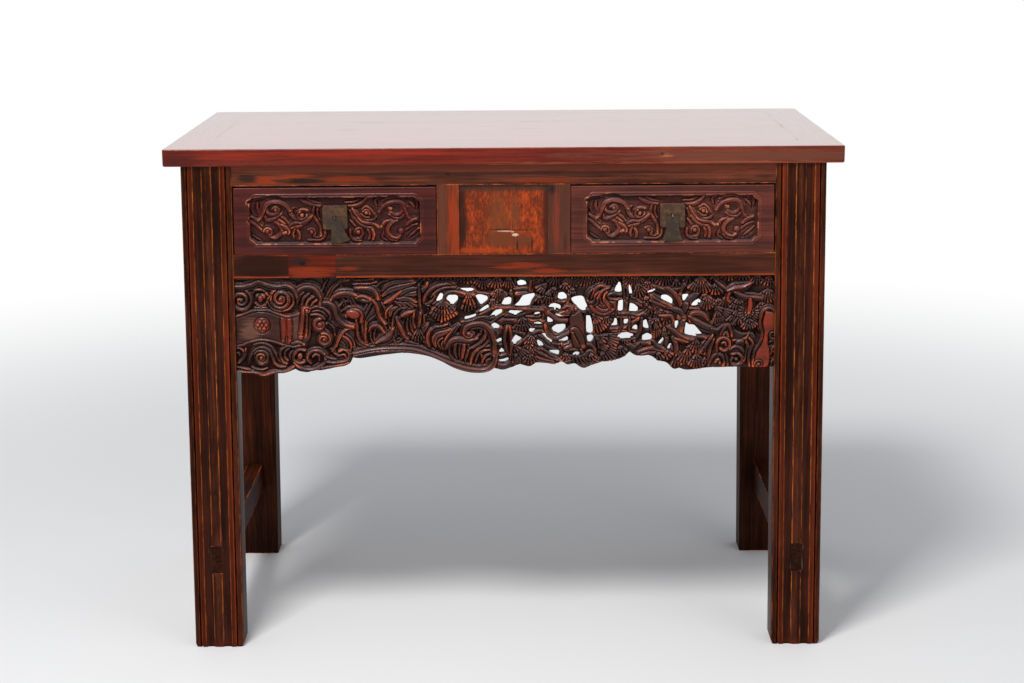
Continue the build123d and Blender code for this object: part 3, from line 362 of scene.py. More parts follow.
def carve_cloud_panel(r):
    """Left end: a handscroll with a boss, between cloud spirals in a lobed border."""
    block_in(r, [-450, 631, -404, 640, -346, 622, -318, 632, -302, 603, -283, 600, -262, 563, -285, 524,
                 -300, 500, -349, 490, -400, 478, -450, 484], -7, edge=2)
    strips(r, [
        ([-296, 607, -288, 622, -277, 635, -262, 643], 4, -5), ([-301, 616, -297, 631, -290, 643], 4, -6),
        ([-290, 610, -281, 626, -268, 638, -255, 641], 4, -4.5), ([-330, 640, -315, 638, -303, 632], 4, -6),
        ([-446, 643, -425, 643, -405, 646], 5, -6), ([-395, 645, -370, 640, -345, 637], 5, -6.5),
    ])
    block_in(r, [-450, 579, -430, 585, -402, 592, -376, 585, -340, 582, -322, 586, -322, 545, -340, 531,
                 -372, 534, -402, 541, -430, 534, -450, 530], -4.2, edge=2, bow=0.09, red=0.32)
    for x, rise in ((-367, 0.5), (-356, 0.1)):
        strip(r, [x, 581, x + 1, 560, x, 539], 8, -3 + rise, 0.5, cross="flat")
    knob(r, (-401, 566), (13.5, 13.5), -0.6, sink=0.45, red=1)
    for k in range(6):
        knob(r, (-401 + 6.4 * cos(k * pi / 3), 566 + 6.4 * sin(k * pi / 3)), (3.6, 3.6), -0.5, red=1)
    knob(r, (-401, 566), (2.6, 2.6), 0, red=1)
    strips(r, [
        ([-450, 579, -430, 585, -416, 590, -402, 592, -388, 590, -375, 585, -361, 580.5, -350, 581,
          -340, 585], 4, -2, 0.2),
        ([-450, 530, -436, 532, -425, 536.5, -412, 540, -400, 541, -386, 538.5, -372, 534, -360, 530,
          -348, 529, -338, 532], 4, -2, 0.1), ([-352, 534, -343, 537, -333, 533], 5, -1.5),
        ([-332, 594, -334, 575, -338, 550], 7.5, -1.2, 0.7),
        ([-326, 585, -327, 570, -329, 548], 4.5, -2, 0.5),
    ], ends=(0.9, 0.9))
    knob(r, (-337.5, 545), (4, 4.5), -0.6, red=0.8)
    curl(r, (-326, 591), 6, 1.2, 200, 3.4, -0.5, sense=-1, red=0.6)
    strips(r, [
        ([-322, 593, -310, 596.5, -298, 593, -289, 584, -289, 573, -295, 567], 4.2, -2, 0, (0.6, 0.5)),
        ([-318, 588.5, -309, 590, -300, 587, -294, 580], 3.2, -3, 0, (0.5, 0.4)),
        ([-320, 583, -310, 583.5, -302, 580, -297, 575], 4.2, -1.6, 0.5),
        ([-296, 558, -290, 550, -287, 541, -291, 532, -300, 528], 3.4, -2.6, 0, (0.5, 0.5)),
        ([-292, 570, -283, 560, -281, 548], 4, -4), ([-287, 572, -277, 562], 4, -4.5),
    ], ends=(0.4, 0.4))
    curl(r, (-305.5, 566), 10.5, 1.1, 80, 6.5, -1.2, red=0.8)
    curl(r, (-299, 541), 11, 1.6, 110, 4.2, -1, sense=-1, red=0.5)
    curl(r, (-434, 608), 18, 1.9, 60, 5.2, -1, sense=-1, red=0.15)
    curl(r, (-368.5, 610), 18.5, 2.1, 100, 5, -0.6, red=0.25)
    strips(r, [
        ([-356, 622, -349, 614, -348, 603, -355, 594, -366, 590], 3.4, -2),
        ([-384, 618, -390, 609, -388, 599, -380, 592, -368, 589], 3.4, -2.5),
        ([-394, 622, -389, 616], 3, -2.5), ([-414, 620, -410, 625, -402, 626, -394, 623], 3.2, -2.5),
        ([-411, 604, -404, 598, -395, 600, -391, 606], 3.2, -2.5),
        ([-413, 596, -402, 595, -392, 596], 3, -3), ([-342, 601, -338, 613, -330, 621], 4.6, -2.2),
        ([-334, 600, -330, 611, -321, 619], 4.6, -1.8), ([-327, 599, -322, 608, -314, 614], 4.4, -1.4),
        ([-319, 598, -314, 604, -309, 608], 4, -1.8), ([-343, 612, -340, 620, -335, 624], 3.6, -2.6),
    ])
    knob(r, (-406, 615), (5, 4.5), -1.6, 30)
    knob(r, (-398, 615), (5, 4.5), -1.6, -30)
    knob(r, (-402, 610), (4, 6), -0.8, red=0.8)
    strips(r, [
        ([-450, 525, -440, 527, -433, 520, -435, 511, -441, 505], 3.4, -2.2, 0, (0.8, 0.5)),
        ([-450, 518, -443, 519, -440, 513], 3.2, -2.6, 0, (0.8, 0.5)),
        ([-446, 500, -437, 506, -430, 516, -430, 526], 3.4, -3, 0, (0.4, 0.5)),
        ([-426, 500, -422, 512, -414, 523, -402, 528, -391, 522, -386, 511, -382, 501, -374, 495,
          -364, 496], 4.8, -1.6, 0, (0.4, 0.4)),
        ([-416, 533, -402, 535.5, -389, 530, -381, 518, -376, 507, -367, 500], 4.2, -2.4, 0, (0.5, 0.3)),
        ([-361, 530, -370, 525, -373, 515, -369, 504, -362, 500], 4.4, -1.8),
        ([-357, 527, -364, 521, -365, 511, -360, 505], 3.6, -2.4),
        ([-352, 522, -357, 515, -356, 508], 3.4, -3),
        ([-421, 495, -414, 491, -405, 490, -395, 493], 3.6, -3, 0, (0.4, 0.4)),
        ([-446, 495, -434, 492, -424, 491], 3.6, -3, 0, (0.8, 0.4)),
    ])
    curl(r, (-404, 510.5), 13, 1.8, 150, 4.6, -0.8, sense=-1, red=0.3)
    strips(r, [
        ([-331, 523, -342, 524, -350, 515, -350, 506, -342, 501, -333, 503], 4.4, -1.2, 0.1, (0.4, 0.7)),
        ([-322, 500, -327, 508, -325, 517, -316, 522, -305, 520, -298, 511, -300, 501, -309, 494,
          -320, 490.5, -333, 491, -343, 495.5, -350, 502], 5.4, -0.8, 0.15, (0.3, 0.4)),
        ([-319, 512, -314, 516, -308, 513, -308, 506], 4, -1, 0.6, (0.5, 0.6)),
        ([-297, 503, -285, 501, -273, 501.5, -263, 504, -257, 511, -259, 520, -267, 525, -275, 521], 6.5,
          -1.2, 0, (0.3, 0.4)), ([-284, 519, -276, 513, -267, 515, -263, 509], 4, -2.4),
        ([-300, 514, -292, 509, -280, 507], 4, -3), ([-289, 525, -281, 521], 4, -3.4),
    ], ends=(0.3, 0.5))
    knob(r, (-340, 513), (3.6, 5), -0.6, red=0.7)
    block_in(r, [-272, 545, -262, 557, -250, 553, -250, 532, -262, 525, -276, 530], -4.5, edge=2)
    strips(r, [
        ([-272, 549, -260, 541, -255, 531, -256, 520], 4.4, -2.2, 0.7, (0.5, 0.5)),
        ([-264, 552, -252, 540, -248, 526], 3.6, -3.2, 0.2, (0.5, 0.5)),
        ([-272, 538, -265, 530], 3, -3.6, 0.1, (0.5, 0.5)),
        ([-450, 487, -425, 486, -411, 484.5, -402, 480.5, -394, 483, -384, 486, -368, 487.5, -358, 491,
          -350, 496], 3.4, -1, 0.6), ([-305, 493, -290, 495, -270, 498.5, -260, 502], 3, -1.6, 0.6),
        ([-252, 561, -261, 559, -269, 552, -275, 541, -279, 531, -286, 521], 4.2, -1.2, 0.5),
        ([-304, 601, -295, 603, -286.5, 600.5, -280.5, 592, -277, 580, -271, 570.5, -262, 564.5,
          -250, 562.5], 8, -0.2, 0.35),
        ([-342, 619, -336, 626, -325, 629.5, -314, 627, -307, 619, -303, 610, -304, 600], 6.6, -0.3, 0.3),
        ([-450, 631, -430, 631, -415, 634, -404, 639, -395, 635.5, -384, 631.5, -370, 630.5, -359, 632,
          -350, 628, -344, 620, -341, 612], 7.5, 0, 0.15),
    ], ends=(0.7, 0.5))


def carve_grass(r):
    """Lingzhi mushrooms and long blades of grass, behind the cloud scroll."""
    block_in(r, [-300, 650, -60, 650, -60, 560, -60, 500, -120, 505, -200, 520, -250, 508, -250, 560,
                 -272, 570], -8, edge=2)
    scatter_blades(r, -280, 520, -70, 640, 90, 5)
    strips(r, [
        # low stems and roots
        ([-272, 578, -275, 590, -269, 601, -259, 605, -252, 600], 3.4, -4, 0.1),
        ([-262, 617, -255, 606, -250, 597], 3.6, -4, 0, (0.4, 0.3)),
        ([-256, 617, -249, 606, -245, 598], 3.6, -3.6, 0, (0.4, 0.3)),
        ([-268, 612, -262, 600, -262, 588], 3.2, -5, 0, (0.4, 0.3)),
        ([-266, 590, -258, 596, -252, 592], 3.2, -4.6, 0, (0.4, 0.3)),
        ([-268, 578, -262, 570, -254, 568], 4, -4.4, 0, (0.4, 0.3)),
        ([-250, 560, -249, 545, -244, 533, -232, 527], 5, -4.5, 0.1, (0.6, 0.5)),
        ([-246, 580, -244, 562, -243, 548, -238, 536, -226, 530], 4.6, -2.6, 0.6, (0.6, 0.6)),
        ([-252, 542, -252, 528, -245, 520, -232, 517.5], 3.6, -3, 0.2, (0.6, 0.5)),
        ([-236, 572, -235, 555, -232, 542, -228, 536], 4.4, -3.2, 0.2, (0.5, 0.5)),
        ([-229, 562, -231, 548, -230, 535], 4.2, -2.4, 0.7, (0.4, 0.6)),
        ([-222, 553, -222, 542, -217, 533], 3.6, -4, 0.1, (0.5, 0.4)),
        ([-216, 551, -216, 541, -211, 534], 3.6, -4.4, 0.1, (0.5, 0.4)),
        ([-226, 600, -232, 588, -236, 577], 4.6, -4, 0, (0.5, 0.3)),
        ([-220, 601, -226, 590, -231, 580, -234, 570], 4.6, -3.2, 0.1, (0.5, 0.3)),
        ([-214, 596, -219, 585, -227, 573, -230, 562], 6, -2.8, 0, (0.5, 0.3), "hollow"),
        ([-226, 571, -214, 580, -208, 588], 5, -4, 0, (0.3, 0.3)),
        ([-216, 530, -206, 532, -196, 529], 4, -5, 0, (0.3, 0.3)),
        ([-196, 537, -187, 545, -183, 538, -180, 530], 4.6, -4, 0, (0.3, 0.4)),
        ([-190, 560, -184, 552, -176, 549], 5, -4, 0, (0.3, 0.3)),
        ([-205, 572, -197, 560, -196, 551], 4.6, -4.6, 0, (0.3, 0.3)),
        ([-203, 645, -190, 642, -170, 643, -152, 645], 5, -5),
        ([-212, 618, -210, 628, -203, 636, -192, 640], 5, -4.6),
        ([-201, 622, -194, 631, -182, 636.5, -166, 638, -150, 640], 6.4, -2.2, 0.4, (0.3, 0.3), "hollow"),
        ([-201, 614, -191, 622, -176, 627.5, -160, 631.5, -146, 637], 8, -1.6, 0.3, (0.2, 0.3), "hollow"),
        ([-182, 607, -166, 615.5, -150, 617.5, -137, 621, -129, 629, -126, 637], 6.4, -2.4, 0.2, (0.3, 0.4),
          "hollow"),
        ([-192, 604, -181, 611, -168, 620, -153, 626, -140, 626.5], 6.6, -1.6, 0.3, (0.2, 0.3), "hollow"),
        ([-199, 602, -187, 608, -178, 615, -169, 623], 5.6, -0.8, 1, (0.2, 0.3), "keel"),
        ([-178, 609, -161, 608.5, -144, 603], 6.6, -1.8, 0.2, (0.3, 0.2), "hollow"),
        ([-181, 605, -174, 600, -169, 594], 4.4, -2.2, 0.5, (0.4, 0.5)),
        ([-174, 604, -167, 600, -161, 594], 4.4, -2.4, 0.6, (0.4, 0.5)),
        ([-166, 603, -157, 599, -151, 594.5], 4.6, -2.6, 0.4),
        ([-158, 604, -148, 598, -141, 596], 4, -3.4, 0.2), ([-203, 603, -198, 592, -196, 582], 4.6, -4),
        ([-196, 577, -194, 588, -185, 598], 4.4, -2.4, 0.4, (0.4, 0.3)),
        ([-189, 580, -187, 590, -177, 595], 5.4, -2.4, 0, (0.3, 0.3), "hollow"),
        ([-186, 556, -184, 570, -181, 583, -172, 592, -160, 594], 4.6, -3.4, 0, (0.4, 0.3)),
        ([-180, 545, -178, 562], 4, -5, 0, (0.4, 0.3)),
        ([-174, 557, -174, 572, -170, 583], 4.2, -4, 0.2, (0.4, 0.3)),
        ([-179, 577, -175, 566, -170, 555, -166, 546, -160, 540], 6, -1.6, 0.7),
        ([-171, 579, -161, 585, -148, 588.5], 6.2, -1, 0.8, (0.2, 0.2), "keel"),
        ([-160, 575, -162, 560, -158, 548], 4.6, -4.6, 0.1),
        ([-154, 580, -155, 565, -152, 553], 4.6, -4, 0.1),
        ([-149, 587, -151, 573, -149, 562, -143, 555], 4.4, -2.4, 0.5),
        ([-137, 590, -140, 576, -142, 563, -146, 553], 5, -2, 0.5, (0.5, 0.4)),
        ([-133, 580, -134, 566, -140, 556], 4.4, -3.6, 0.1, (0.5, 0.4)),
        ([-141, 632, -140, 615, -140, 600, -137, 588], 5.6, -2.6, 0.2, (0.5, 0.6)),
        ([-134, 606, -131, 600, -124, 598], 5, -3.4, 0.1, (0.5, 0.4)),
        ([-118, 600, -111, 605, -113, 614, -106, 622], 5, -3.6, 0.1),
        ([-133, 601, -131, 611, -124, 621, -113, 629, -98, 633, -82, 634], 5.4, -1.6, 0.5, (0.4, 0.5)),
        ([-121, 611, -111, 621, -97, 627, -80, 628], 5, -2.2, 0.3, (0.3, 0.5)),
        ([-126, 600, -118, 606, -114, 614], 4.4, -3.4, 0.2, (0.3, 0.5)),
        ([-160, 551, -152, 543, -146, 538], 4.2, -3.6), ([-165, 538, -154, 534, -143, 531], 4.2, -4, 0.1),
        ([-163, 531, -150, 529, -136, 528], 4, -5),
        ([-138, 548, -133, 558, -127, 566], 7, -2, 0, (0.3, 0.3), "hollow"),
        ([-125, 528, -127.5, 541, -125, 552, -119, 558], 5.6, -1.4, 0.7, (0.5, 0.4)),
        ([-122, 553, -115, 560, -104, 562, -94, 566], 4, -3.2, 0.1),
        ([-114, 528, -117, 539, -111, 547.5, -99, 552, -88, 557.5], 8, -1.6, 0.4, (0.3, 0.2), "hollow"),
        ([-106, 524, -110, 535, -103, 543], 4, -3, 0.3),
        ([-101, 520, -104, 531, -97, 540, -90, 548], 4, -3, 0.2),
        ([-97, 526, -99, 535, -94, 545, -86, 555, -77, 563, -68, 568], 5, -1.8, 0.4, (0.5, 0.4)),
        ([-84, 549, -78, 558, -70, 566, -62, 570], 4, -2.6, 0.2),
        ([-78, 548, -74, 556, -68, 562], 4, -3.4, 0.1),
    ], ends=(0.4, 0.4))
    pine(r, (-143, 561), -90, 42, (18, 27), -2.6, squash=0.9, red=0.2)
    strips(r, [
        ([-224, 555, -221, 561, -213, 564, -205, 560, -199, 552], 5.4, -2, 0.6),
        ([-213, 535, -205, 538, -196, 542, -189, 549, -184, 560], 10, -1.4, 0.4, (0.3, 0.15), "keel"),
        ([-262, 580, -254, 589, -243, 589, -236, 581, -237, 571], 7, -0.8, 0.9, (0.5, 0.5)),
    ], ends=(0.4, 0.3))
    knob(r, (-250, 584), (12, 7.5), 0, -12, sink=0.7, red=1)
    strips(r, [
        ([-217, 607, -211, 598, -208.5, 588, -205, 577, -197, 567], 5.8, -0.8, 0.6, (0.4, 0.4)),
        ([-287, 606, -280, 614, -268, 619, -253, 618, -241, 613, -229, 608, -220, 608], 6.4, -0.4, 0.5,
          (0.4, 0.6)), ([-245, 612, -233, 613, -221, 609], 6, -0.8, 0.3, (0.3, 0.7)),
        ([-246, 627, -232, 628, -220, 625.5, -212, 619, -208, 610], 8, -0.2, 0.4),
        ([-250, 634, -236, 634, -222, 634, -210, 638], 5, -3.5),
        ([-250, 641, -232, 640, -215, 643], 4, -4.5),
    ], ends=(0.3, 0.5))


def carve_cloud_scroll(r):
    """The big rolled scroll, its leaf, and the rounded edge that runs along the bottom from it."""
    block_in(r, [-70, 566, -40, 570, -15, 552, -12, 515, -18, 492, -60, 484, -110, 500, -95, 530], -8,
                edge=2)
    strips(r, [
        ([-81, 536, -83, 520, -80, 508], 5.4, -3, 0.3, (0.5, 0.5)),
        ([-92, 524, -91, 512, -82, 502], 4.2, -4, 0, (0.5, 0.5)),
        ([-74, 532, -76, 515, -72, 500], 4, -4.4, 0, (0.5, 0.5)),
        ([-67, 533, -69, 520, -71, 508], 5.6, -2.6, 0.7, (0.5, 0.6)),
        ([-60, 532, -61, 520, -66, 503, -62, 496], 4.2, -4, 0.1, (0.5, 0.5)),
        ([-26, 529, -37, 527, -48, 520, -55, 508, -57, 497], 4.6, -2.6, 0.5),
        ([-24, 522, -36, 520, -45, 512, -49, 500], 4, -3.6, 0.2),
        ([-40, 515, -37, 505, -39, 495], 4, -4.2, 0.1), ([-24, 515, -31, 512, -36, 505], 4, -3.4, 0.2),
        ([-22, 507, -30, 503, -30, 496], 4, -4, 0.1), ([-39, 556, -40, 549, -46, 544], 4, -4),
        ([-33, 558, -32, 547, -38, 536, -50, 528, -60, 523], 4.6, -2.6, 0.4, (0.5, 0.3)),
        ([-26, 553, -25, 541, -32, 531, -42, 524], 4.4, -3.2, 0.2, (0.5, 0.3)),
        ([-98, 524, -90, 535, -80, 540, -70, 539, -60, 537, -52, 539, -44, 542], 9, -1.2, 0.5, (0.3, 0.1)),
        ([-24, 566, -12, 575, 0, 583], 4, -4, 0, (0.5, 0.5)),
        ([-253, 515, -240, 517.5, -225, 520.5, -205, 523, -185, 523.5, -165, 523, -146, 520, -126, 513,
          -106, 504, -88, 496.5, -70, 490.5, -52, 487, -37, 486.5, -26, 490, -18, 499, -15.5, 512, -16, 530,
          -18, 546], 8.5, -0.6, 0.35, (0.9, 0.9), "double"),
        ([-56, 547, -62, 546, -66, 551, -64, 558.5, -57, 563.5, -47, 566, -36, 565, -27, 559.5, -20.5, 550,
          -17, 536, -16, 518], 8.5, 0, 0.45, (0.7, 0.9)),
    ], ends=(0.5, 0.4))
    knob(r, (-59.5, 549), (4.2, 4.2), 0, red=0.5)


def carve_pine_branches(r):
    """The pierced part: branches, and pine needles in tiered fans."""
    strips(r, [
        ([-96, 650, -90, 640, -84, 634], 6, -4), ([-45, 585, -30, 590, -16, 598, -8, 606], 8, -3.5, 0.1),
        ([-48, 578, -30, 585, -22, 593], 7, -4),
        ([-70, 569, -52, 571, -38, 577, -26, 575, -10, 578, 0, 586, 2, 594], 7, -3, 0.1),
        ([-40, 582, -26, 588, -16, 595], 5, -3, 0.1), ([-75, 626, -64, 619, -50, 618], 4, -4),
        ([-50, 624, -45, 618, -30, 616, -18, 612], 6, -4), ([-26, 612, -25, 602, -20, 592], 6, -4),
        ([11, 616, 12, 604, 8, 594, 2, 584], 8, -4), ([18, 640, 16, 630, 10, 620], 6, -4.5),
        ([16, 628, 20, 624, 32, 625, 42, 622, 40, 618, 20, 617], 8, -2.6),
        ([42, 620, 43, 632, 47, 638, 62, 638], 5, -2.4, 0.5), ([52, 612, 46, 602, 40, 592, 36, 580], 7, -4),
        ([-6, 570, 2, 574, 12, 573, 20, 569], 8, -1.6, 0.6), ([0, 579, 18, 580, 34, 582, 44, 588], 8, -3),
        ([24, 570, 33, 574, 44, 572, 57, 575, 64, 569, 66, 556, 72, 548], 6, -1, 0.6),
        ([36, 578, 50, 577, 62, 578, 70, 582], 6, -3, 0.1), ([42, 563, 52, 560, 63, 560], 6, -3),
        ([52, 551, 58, 552, 64, 553, 70, 549], 5, -2.6, 0.1),
        ([48, 538, 50, 549, 56, 553, 66, 552], 6, -1.6, 0.3),
        ([50, 543, 58, 543, 64, 536, 68, 528, 80, 524, 92, 524], 8, -1.8, 0.1),
        ([57, 546, 66, 540, 73, 532, 84, 527], 6, -2.2, 0.1), ([64, 575, 66, 585, 64, 596], 6, -3, 0.1),
        ([66, 566, 68, 557, 74, 549, 84, 545, 96, 546, 108, 552], 7, -1.8, 0.2),
        ([75, 548, 86, 541, 96, 542, 104, 548], 6, -1.4, 0.6),
        ([72, 546, 82, 536, 88, 528, 100, 527, 112, 527], 7, -1.8, 0.5),
        ([79, 532, 88, 530, 98, 532, 108, 534], 5, -2.4, 0.2),
        ([66, 592, 71, 584, 80, 578, 88, 574], 8, -1.4, 0.7),
        ([75, 588, 83, 590, 88, 587, 85, 582], 4, -2.4),
        ([74, 604, 78, 606, 86, 603, 94, 601, 104, 604], 6, -3), ([84, 612, 84, 604], 6, -3.4),
        ([106, 620, 106, 610, 104, 602], 6, -3.4, 0.2), ([-14, 552, -6, 546, -2, 536, 0, 524], 7, -3.4),
        ([-16, 530, -8, 529, 0, 530], 7, -3), ([-14, 512, -6, 511, 4, 513, 10, 506], 6, -2.6),
        ([-16, 498, -8, 494, 2, 494, 10, 500, 12, 510], 9, -2.6), ([-16, 545, -8, 550, -6, 560], 7, -3),
        ([14, 526, 22, 530, 32, 537, 40, 544], 7, -2.6), ([12, 552, 20, 552, 32, 548], 7, -3),
        ([8, 520, 14, 510, 14, 500], 6, -3.4), ([55, 517, 68, 510.5, 80, 507, 94, 503], 6, -1.4, 0.2),
        ([60, 523, 70, 517, 76, 512, 86, 508], 5, -2.4), ([52, 509, 64, 504, 80, 501], 5, -1.6, 0.7),
        ([55, 502, 66, 499.5, 82, 498], 4, -2.4, 0.2), ([90, 524, 94, 515, 92, 506], 7, -3),
        ([100, 521, 112, 521, 126, 521], 6, -3), ([126, 521, 128, 512, 124, 504], 6, -3),
        ([129, 590, 140, 587, 146, 580, 150, 573], 7, -2.6),
        ([147, 580, 149, 565, 148, 548, 148, 530, 150, 515], 7, -3.2),
        ([136, 551, 142, 549, 148, 549], 5, -3.4), ([134, 530, 142, 528, 148, 524], 6, -3.4),
        ([172, 613, 184, 616, 196, 613, 208, 609, 222, 601, 234, 596], 7.5, -1.4, 0.1),
        ([176, 606, 188, 606, 198, 606, 212, 602, 226, 595], 5, -2.2, 0.5),
        ([203, 648, 201, 632, 202, 618, 200, 600, 199, 584], 10, -2.8),
        ([196, 645, 196, 625, 198, 608], 5, -3.4),
        ([176, 582, 190, 581, 206, 581, 220, 578, 236, 585], 8, -2),
        ([186, 576, 200, 575.5, 222, 575], 4, -2.6, 0.6), ([184, 606, 184, 594, 184, 580], 5, -3.4),
        ([176, 556, 190, 556, 202, 558, 212, 566, 222, 574], 7.5, -1.8, 0.1),
        ([178, 552, 194, 552, 205, 553], 4, -2.2, 0.7), ([192, 574, 193, 562, 190, 552], 5, -3.4),
        ([206, 575, 206, 565, 206, 552, 218, 550], 5, -3.4),
        ([226, 574, 225, 560, 222, 548, 214, 536], 6, -3), ([240, 572, 240, 560, 244, 548], 6, -3),
        ([170, 540, 186, 537, 202, 537, 216, 540], 5, -3), ([216, 530, 226, 531, 240, 531], 6, -2.4, 0.4),
        ([196, 535, 206, 529, 214, 524, 222, 530], 8, -3.4),
        ([222, 516, 236, 521, 250, 522, 264, 519, 272, 512], 8, -1.8, 0.5),
        ([226, 512, 240, 515, 254, 515], 5, -2.4, 0.3), ([246, 534, 252, 526, 262, 522], 7, -3.4),
        ([256, 548, 262, 545, 268, 538, 268, 528, 280, 520], 7, -3),
        ([278, 540, 283, 530, 284, 518, 282, 506], 8, -2.4, 0.1),
        ([232, 628, 246, 627, 262, 622, 276, 621, 290, 622], 7, -2.4),
        ([268, 624, 279, 616, 286, 606, 291, 596, 293, 588], 7.5, -1.4, 0.6),
        ([300, 648, 297, 632, 291, 622, 289, 614], 7, -3.4),
        ([322, 622, 314, 612, 306, 604, 302, 594, 298, 580, 293, 566, 291, 552], 11, -2.4),
        ([300, 596, 294, 584, 288, 574], 12, -2.8), ([270, 590, 280, 588, 290, 584, 296, 576], 9, -2.4, 0.1),
        ([270, 584, 275, 574, 276, 562], 9, -3.2), ([306, 590, 312, 589, 320, 588], 6, -3),
        ([334, 604, 328, 600, 330, 592], 7, -3.2), ([278, 566, 276, 556, 270, 548], 6, -3.4),
        ([-100, 602, -99, 611, -94, 617.5, -84, 620.5, -72, 618.5, -60, 615, -49, 615.5], 5.4, -0.6, 0.2,
          (0.9, 0.7)),
    ], ends=(0.8, 0.7))
    knob(r, (-99.5, 603.5), (3.2, 3.2), 0, red=0.7)


PINES = [
    # root, aim, spread, reach of the longest tier or of each, lift, redness, width to height
    ((-128, 650), -90, 60, (13,), -3.6, 0, 1.7), ((-105, 652), -90, 55, (15,), -3.4, 0, 1.6),
    ((-88, 650), -90, 50, (12,), -4.4, 0, 1.5), ((-63, 651), -90, 62, (13, 21), -3, 0, 1.15),
    ((-34, 650), -90, 62, 26, -2.6, 0.1, 0.95), ((-11, 648), -95, 50, 24, -3, 0.2),
    ((7, 648), -90, 42, 24, -3, 0.3, 0.9), ((-59, 621), -90, 36, (14, 27, 36), -2.4, 0.2, 0.95),
    ((-9, 626), -90, 68, 22, -2.2, 0.4, 0.9), ((-20, 610), -80, 50, 16, -2.8, 0.3),
    ((-101, 607), -90, 62, (17, 28, 39), -1.2, 0.4), ((47, 650), -60, 40, 16, -4.5, 0, 1.2),
    ((66, 650), -90, 50, 18, -4, 0, 1.2), ((88, 652), -90, 60, 27, -3.6, 0.1),
    ((114, 652), -90, 60, 28, -3.2, 0.2), ((100, 636), -90, 60, 15, -2.4, 0.5),
    ((134, 650), -90, 50, 24, -4), ((83, 628), -105, 50, 17, -3, 0.4, 0.9),
    ((113, 627), -100, 50, 15, -3, 0.3, 0.9), ((71, 634), -135, 34, 22, -1.4, 0.5),
    ((74, 622), -105, 44, 25, -1.8, 0.3, 0.9), ((58, 614), -100, 44, 15, -1.4, 0.5),
    ((28, 577), -78, 62, 27, -1.8, 0.4, 0.95), ((44, 546), -88, 58, 21, -1.2, 0.7, 0.95),
    ((40, 532), -88, 74, 21, -2.4, 0.5), ((14, 531), -55, 34, 36, -2.8, 0.4),
    ((42, 516), -92, 60, 20, -3.4, 0.2), ((16, 518), -72, 24, 22, -3.2, 0.3),
    ((150, 580), -55, 36, 32, -2, 0.5), ((148, 578), -78, 22, 32, -2.6, 0.5),
    ((168, 580), -80, 50, 16, -3, 0.2), ((196, 610), -30, 20, 22, -3.4, 0.1),
    ((150, 547), -55, 30, 25, -1.6, 0.6), ((154, 545), -20, 34, 40, -2.2, 0.5),
    ((158, 530), -45, 40, 36, -2.8, 0.4), ((160, 520), -75, 30, 22, -3.2, 0.3),
    ((190, 528), -70, 50, 18, -3.6, 0.2), ((196, 546), -60, 30, 18, -3.6, 0.3),
    ((172, 652), -90, 60, 24, -4.4), ((150, 650), -90, 50, 16, -4.4), ((214, 652), -90, 60, 30, -3.4, 0.1),
    ((236, 640), -95, 44, 21, -2.4, 0.6), ((248, 652), -90, 50, 19, -4, 0.1, 1.1),
    ((266, 652), -90, 55, 27, -3.6, 0.1), ((282, 642), -85, 40, 17, -2.4, 0.4),
    ((302, 648), -100, 40, 18, -3, 0.4), ((218, 634), -70, 46, 26, -2.6, 0.1),
    ((232, 612), -70, 42, 17, -2.2, 0.5), ((246, 606), -60, 50, 24, -2, 0.5),
    ((250, 590), -60, 56, 25, -2.4, 0.4), ((240, 596), -100, 40, 16, -2.6, 0.4),
    ((252, 575), -110, 60, 18, -2.4, 0.4), ((266, 578), -80, 40, 16, -3, 0.2),
    ((248, 568), -75, 26, 30, -2, 0.4, 0.9), ((264, 560), -88, 22, 20, -2.8, 0.3),
    ((323, 645), -92, 56, 31, -1, 0.5), ((348, 650), -90, 50, 16, -3, 0.2, 1.2),
    ((346, 634), -70, 46, 24, -1.4, 0.5), ((370, 652), -95, 60, 18, -2.6, 0.4, 1.1),
    ((392, 652), -90, 60, 18, -3.2, 0.2, 1.1), ((416, 648), -95, 56, 19, -2.2, 0.4),
    ((436, 646), -100, 50, 22, -3.6, 0.1), ((328, 616), -75, 60, 15, -2, 0.4),
    ((334, 612), -85, 60, 25, -1.8, 0.5), ((352, 606), -80, 70, 15, -1.8, 0.5),
    ((366, 612), -80, 60, 24, -2.8, 0.2), ((386, 606), -90, 60, 23, -3, 0.1),
    ((346, 594), -48, 40, 38, -1.8, 0.5), ((350, 588), -80, 36, 32, -2.2, 0.4),
    ((404, 600), -90, 150, 8, -3, 0.1), ((385, 588), -88, 60, 29, -1.6, 0.4),
    ((404, 582), -90, 150, 19, -2.2, 0.2), ((404, 572), -85, 66, 20, -1.8, 0.4),
    ((424, 602), -80, 60, 17, -3.2, 0.1), ((434, 622), -90, 70, 24, -3.4, 0.1),
    ((372, 568), -90, 50, 14, -2.6, 0.2), ((336, 541), -105, 36, 34, -2, 0.4),
    ((318, 538), -100, 50, 26, -2.6, 0.5), ((264, 520), -48, 36, 20, -1.4, 0.7),
    ((252, 518), -65, 36, 20, -3, 0.1), ((288, 520), -85, 40, 30, -2.8, 0.1),
    ((304, 524), -100, 40, 30, -3.2, 0.1), ((318, 514), -88, 50, 27, -1.8, 0.4),
    ((340, 520), -95, 34, 30, -2.4, 0.2), ((392, 540), -85, 60, 22, -3),
    ((378, 524), -100, 40, 16, -3.2, 0.1),
]


RAIL_BOTTOM = 647
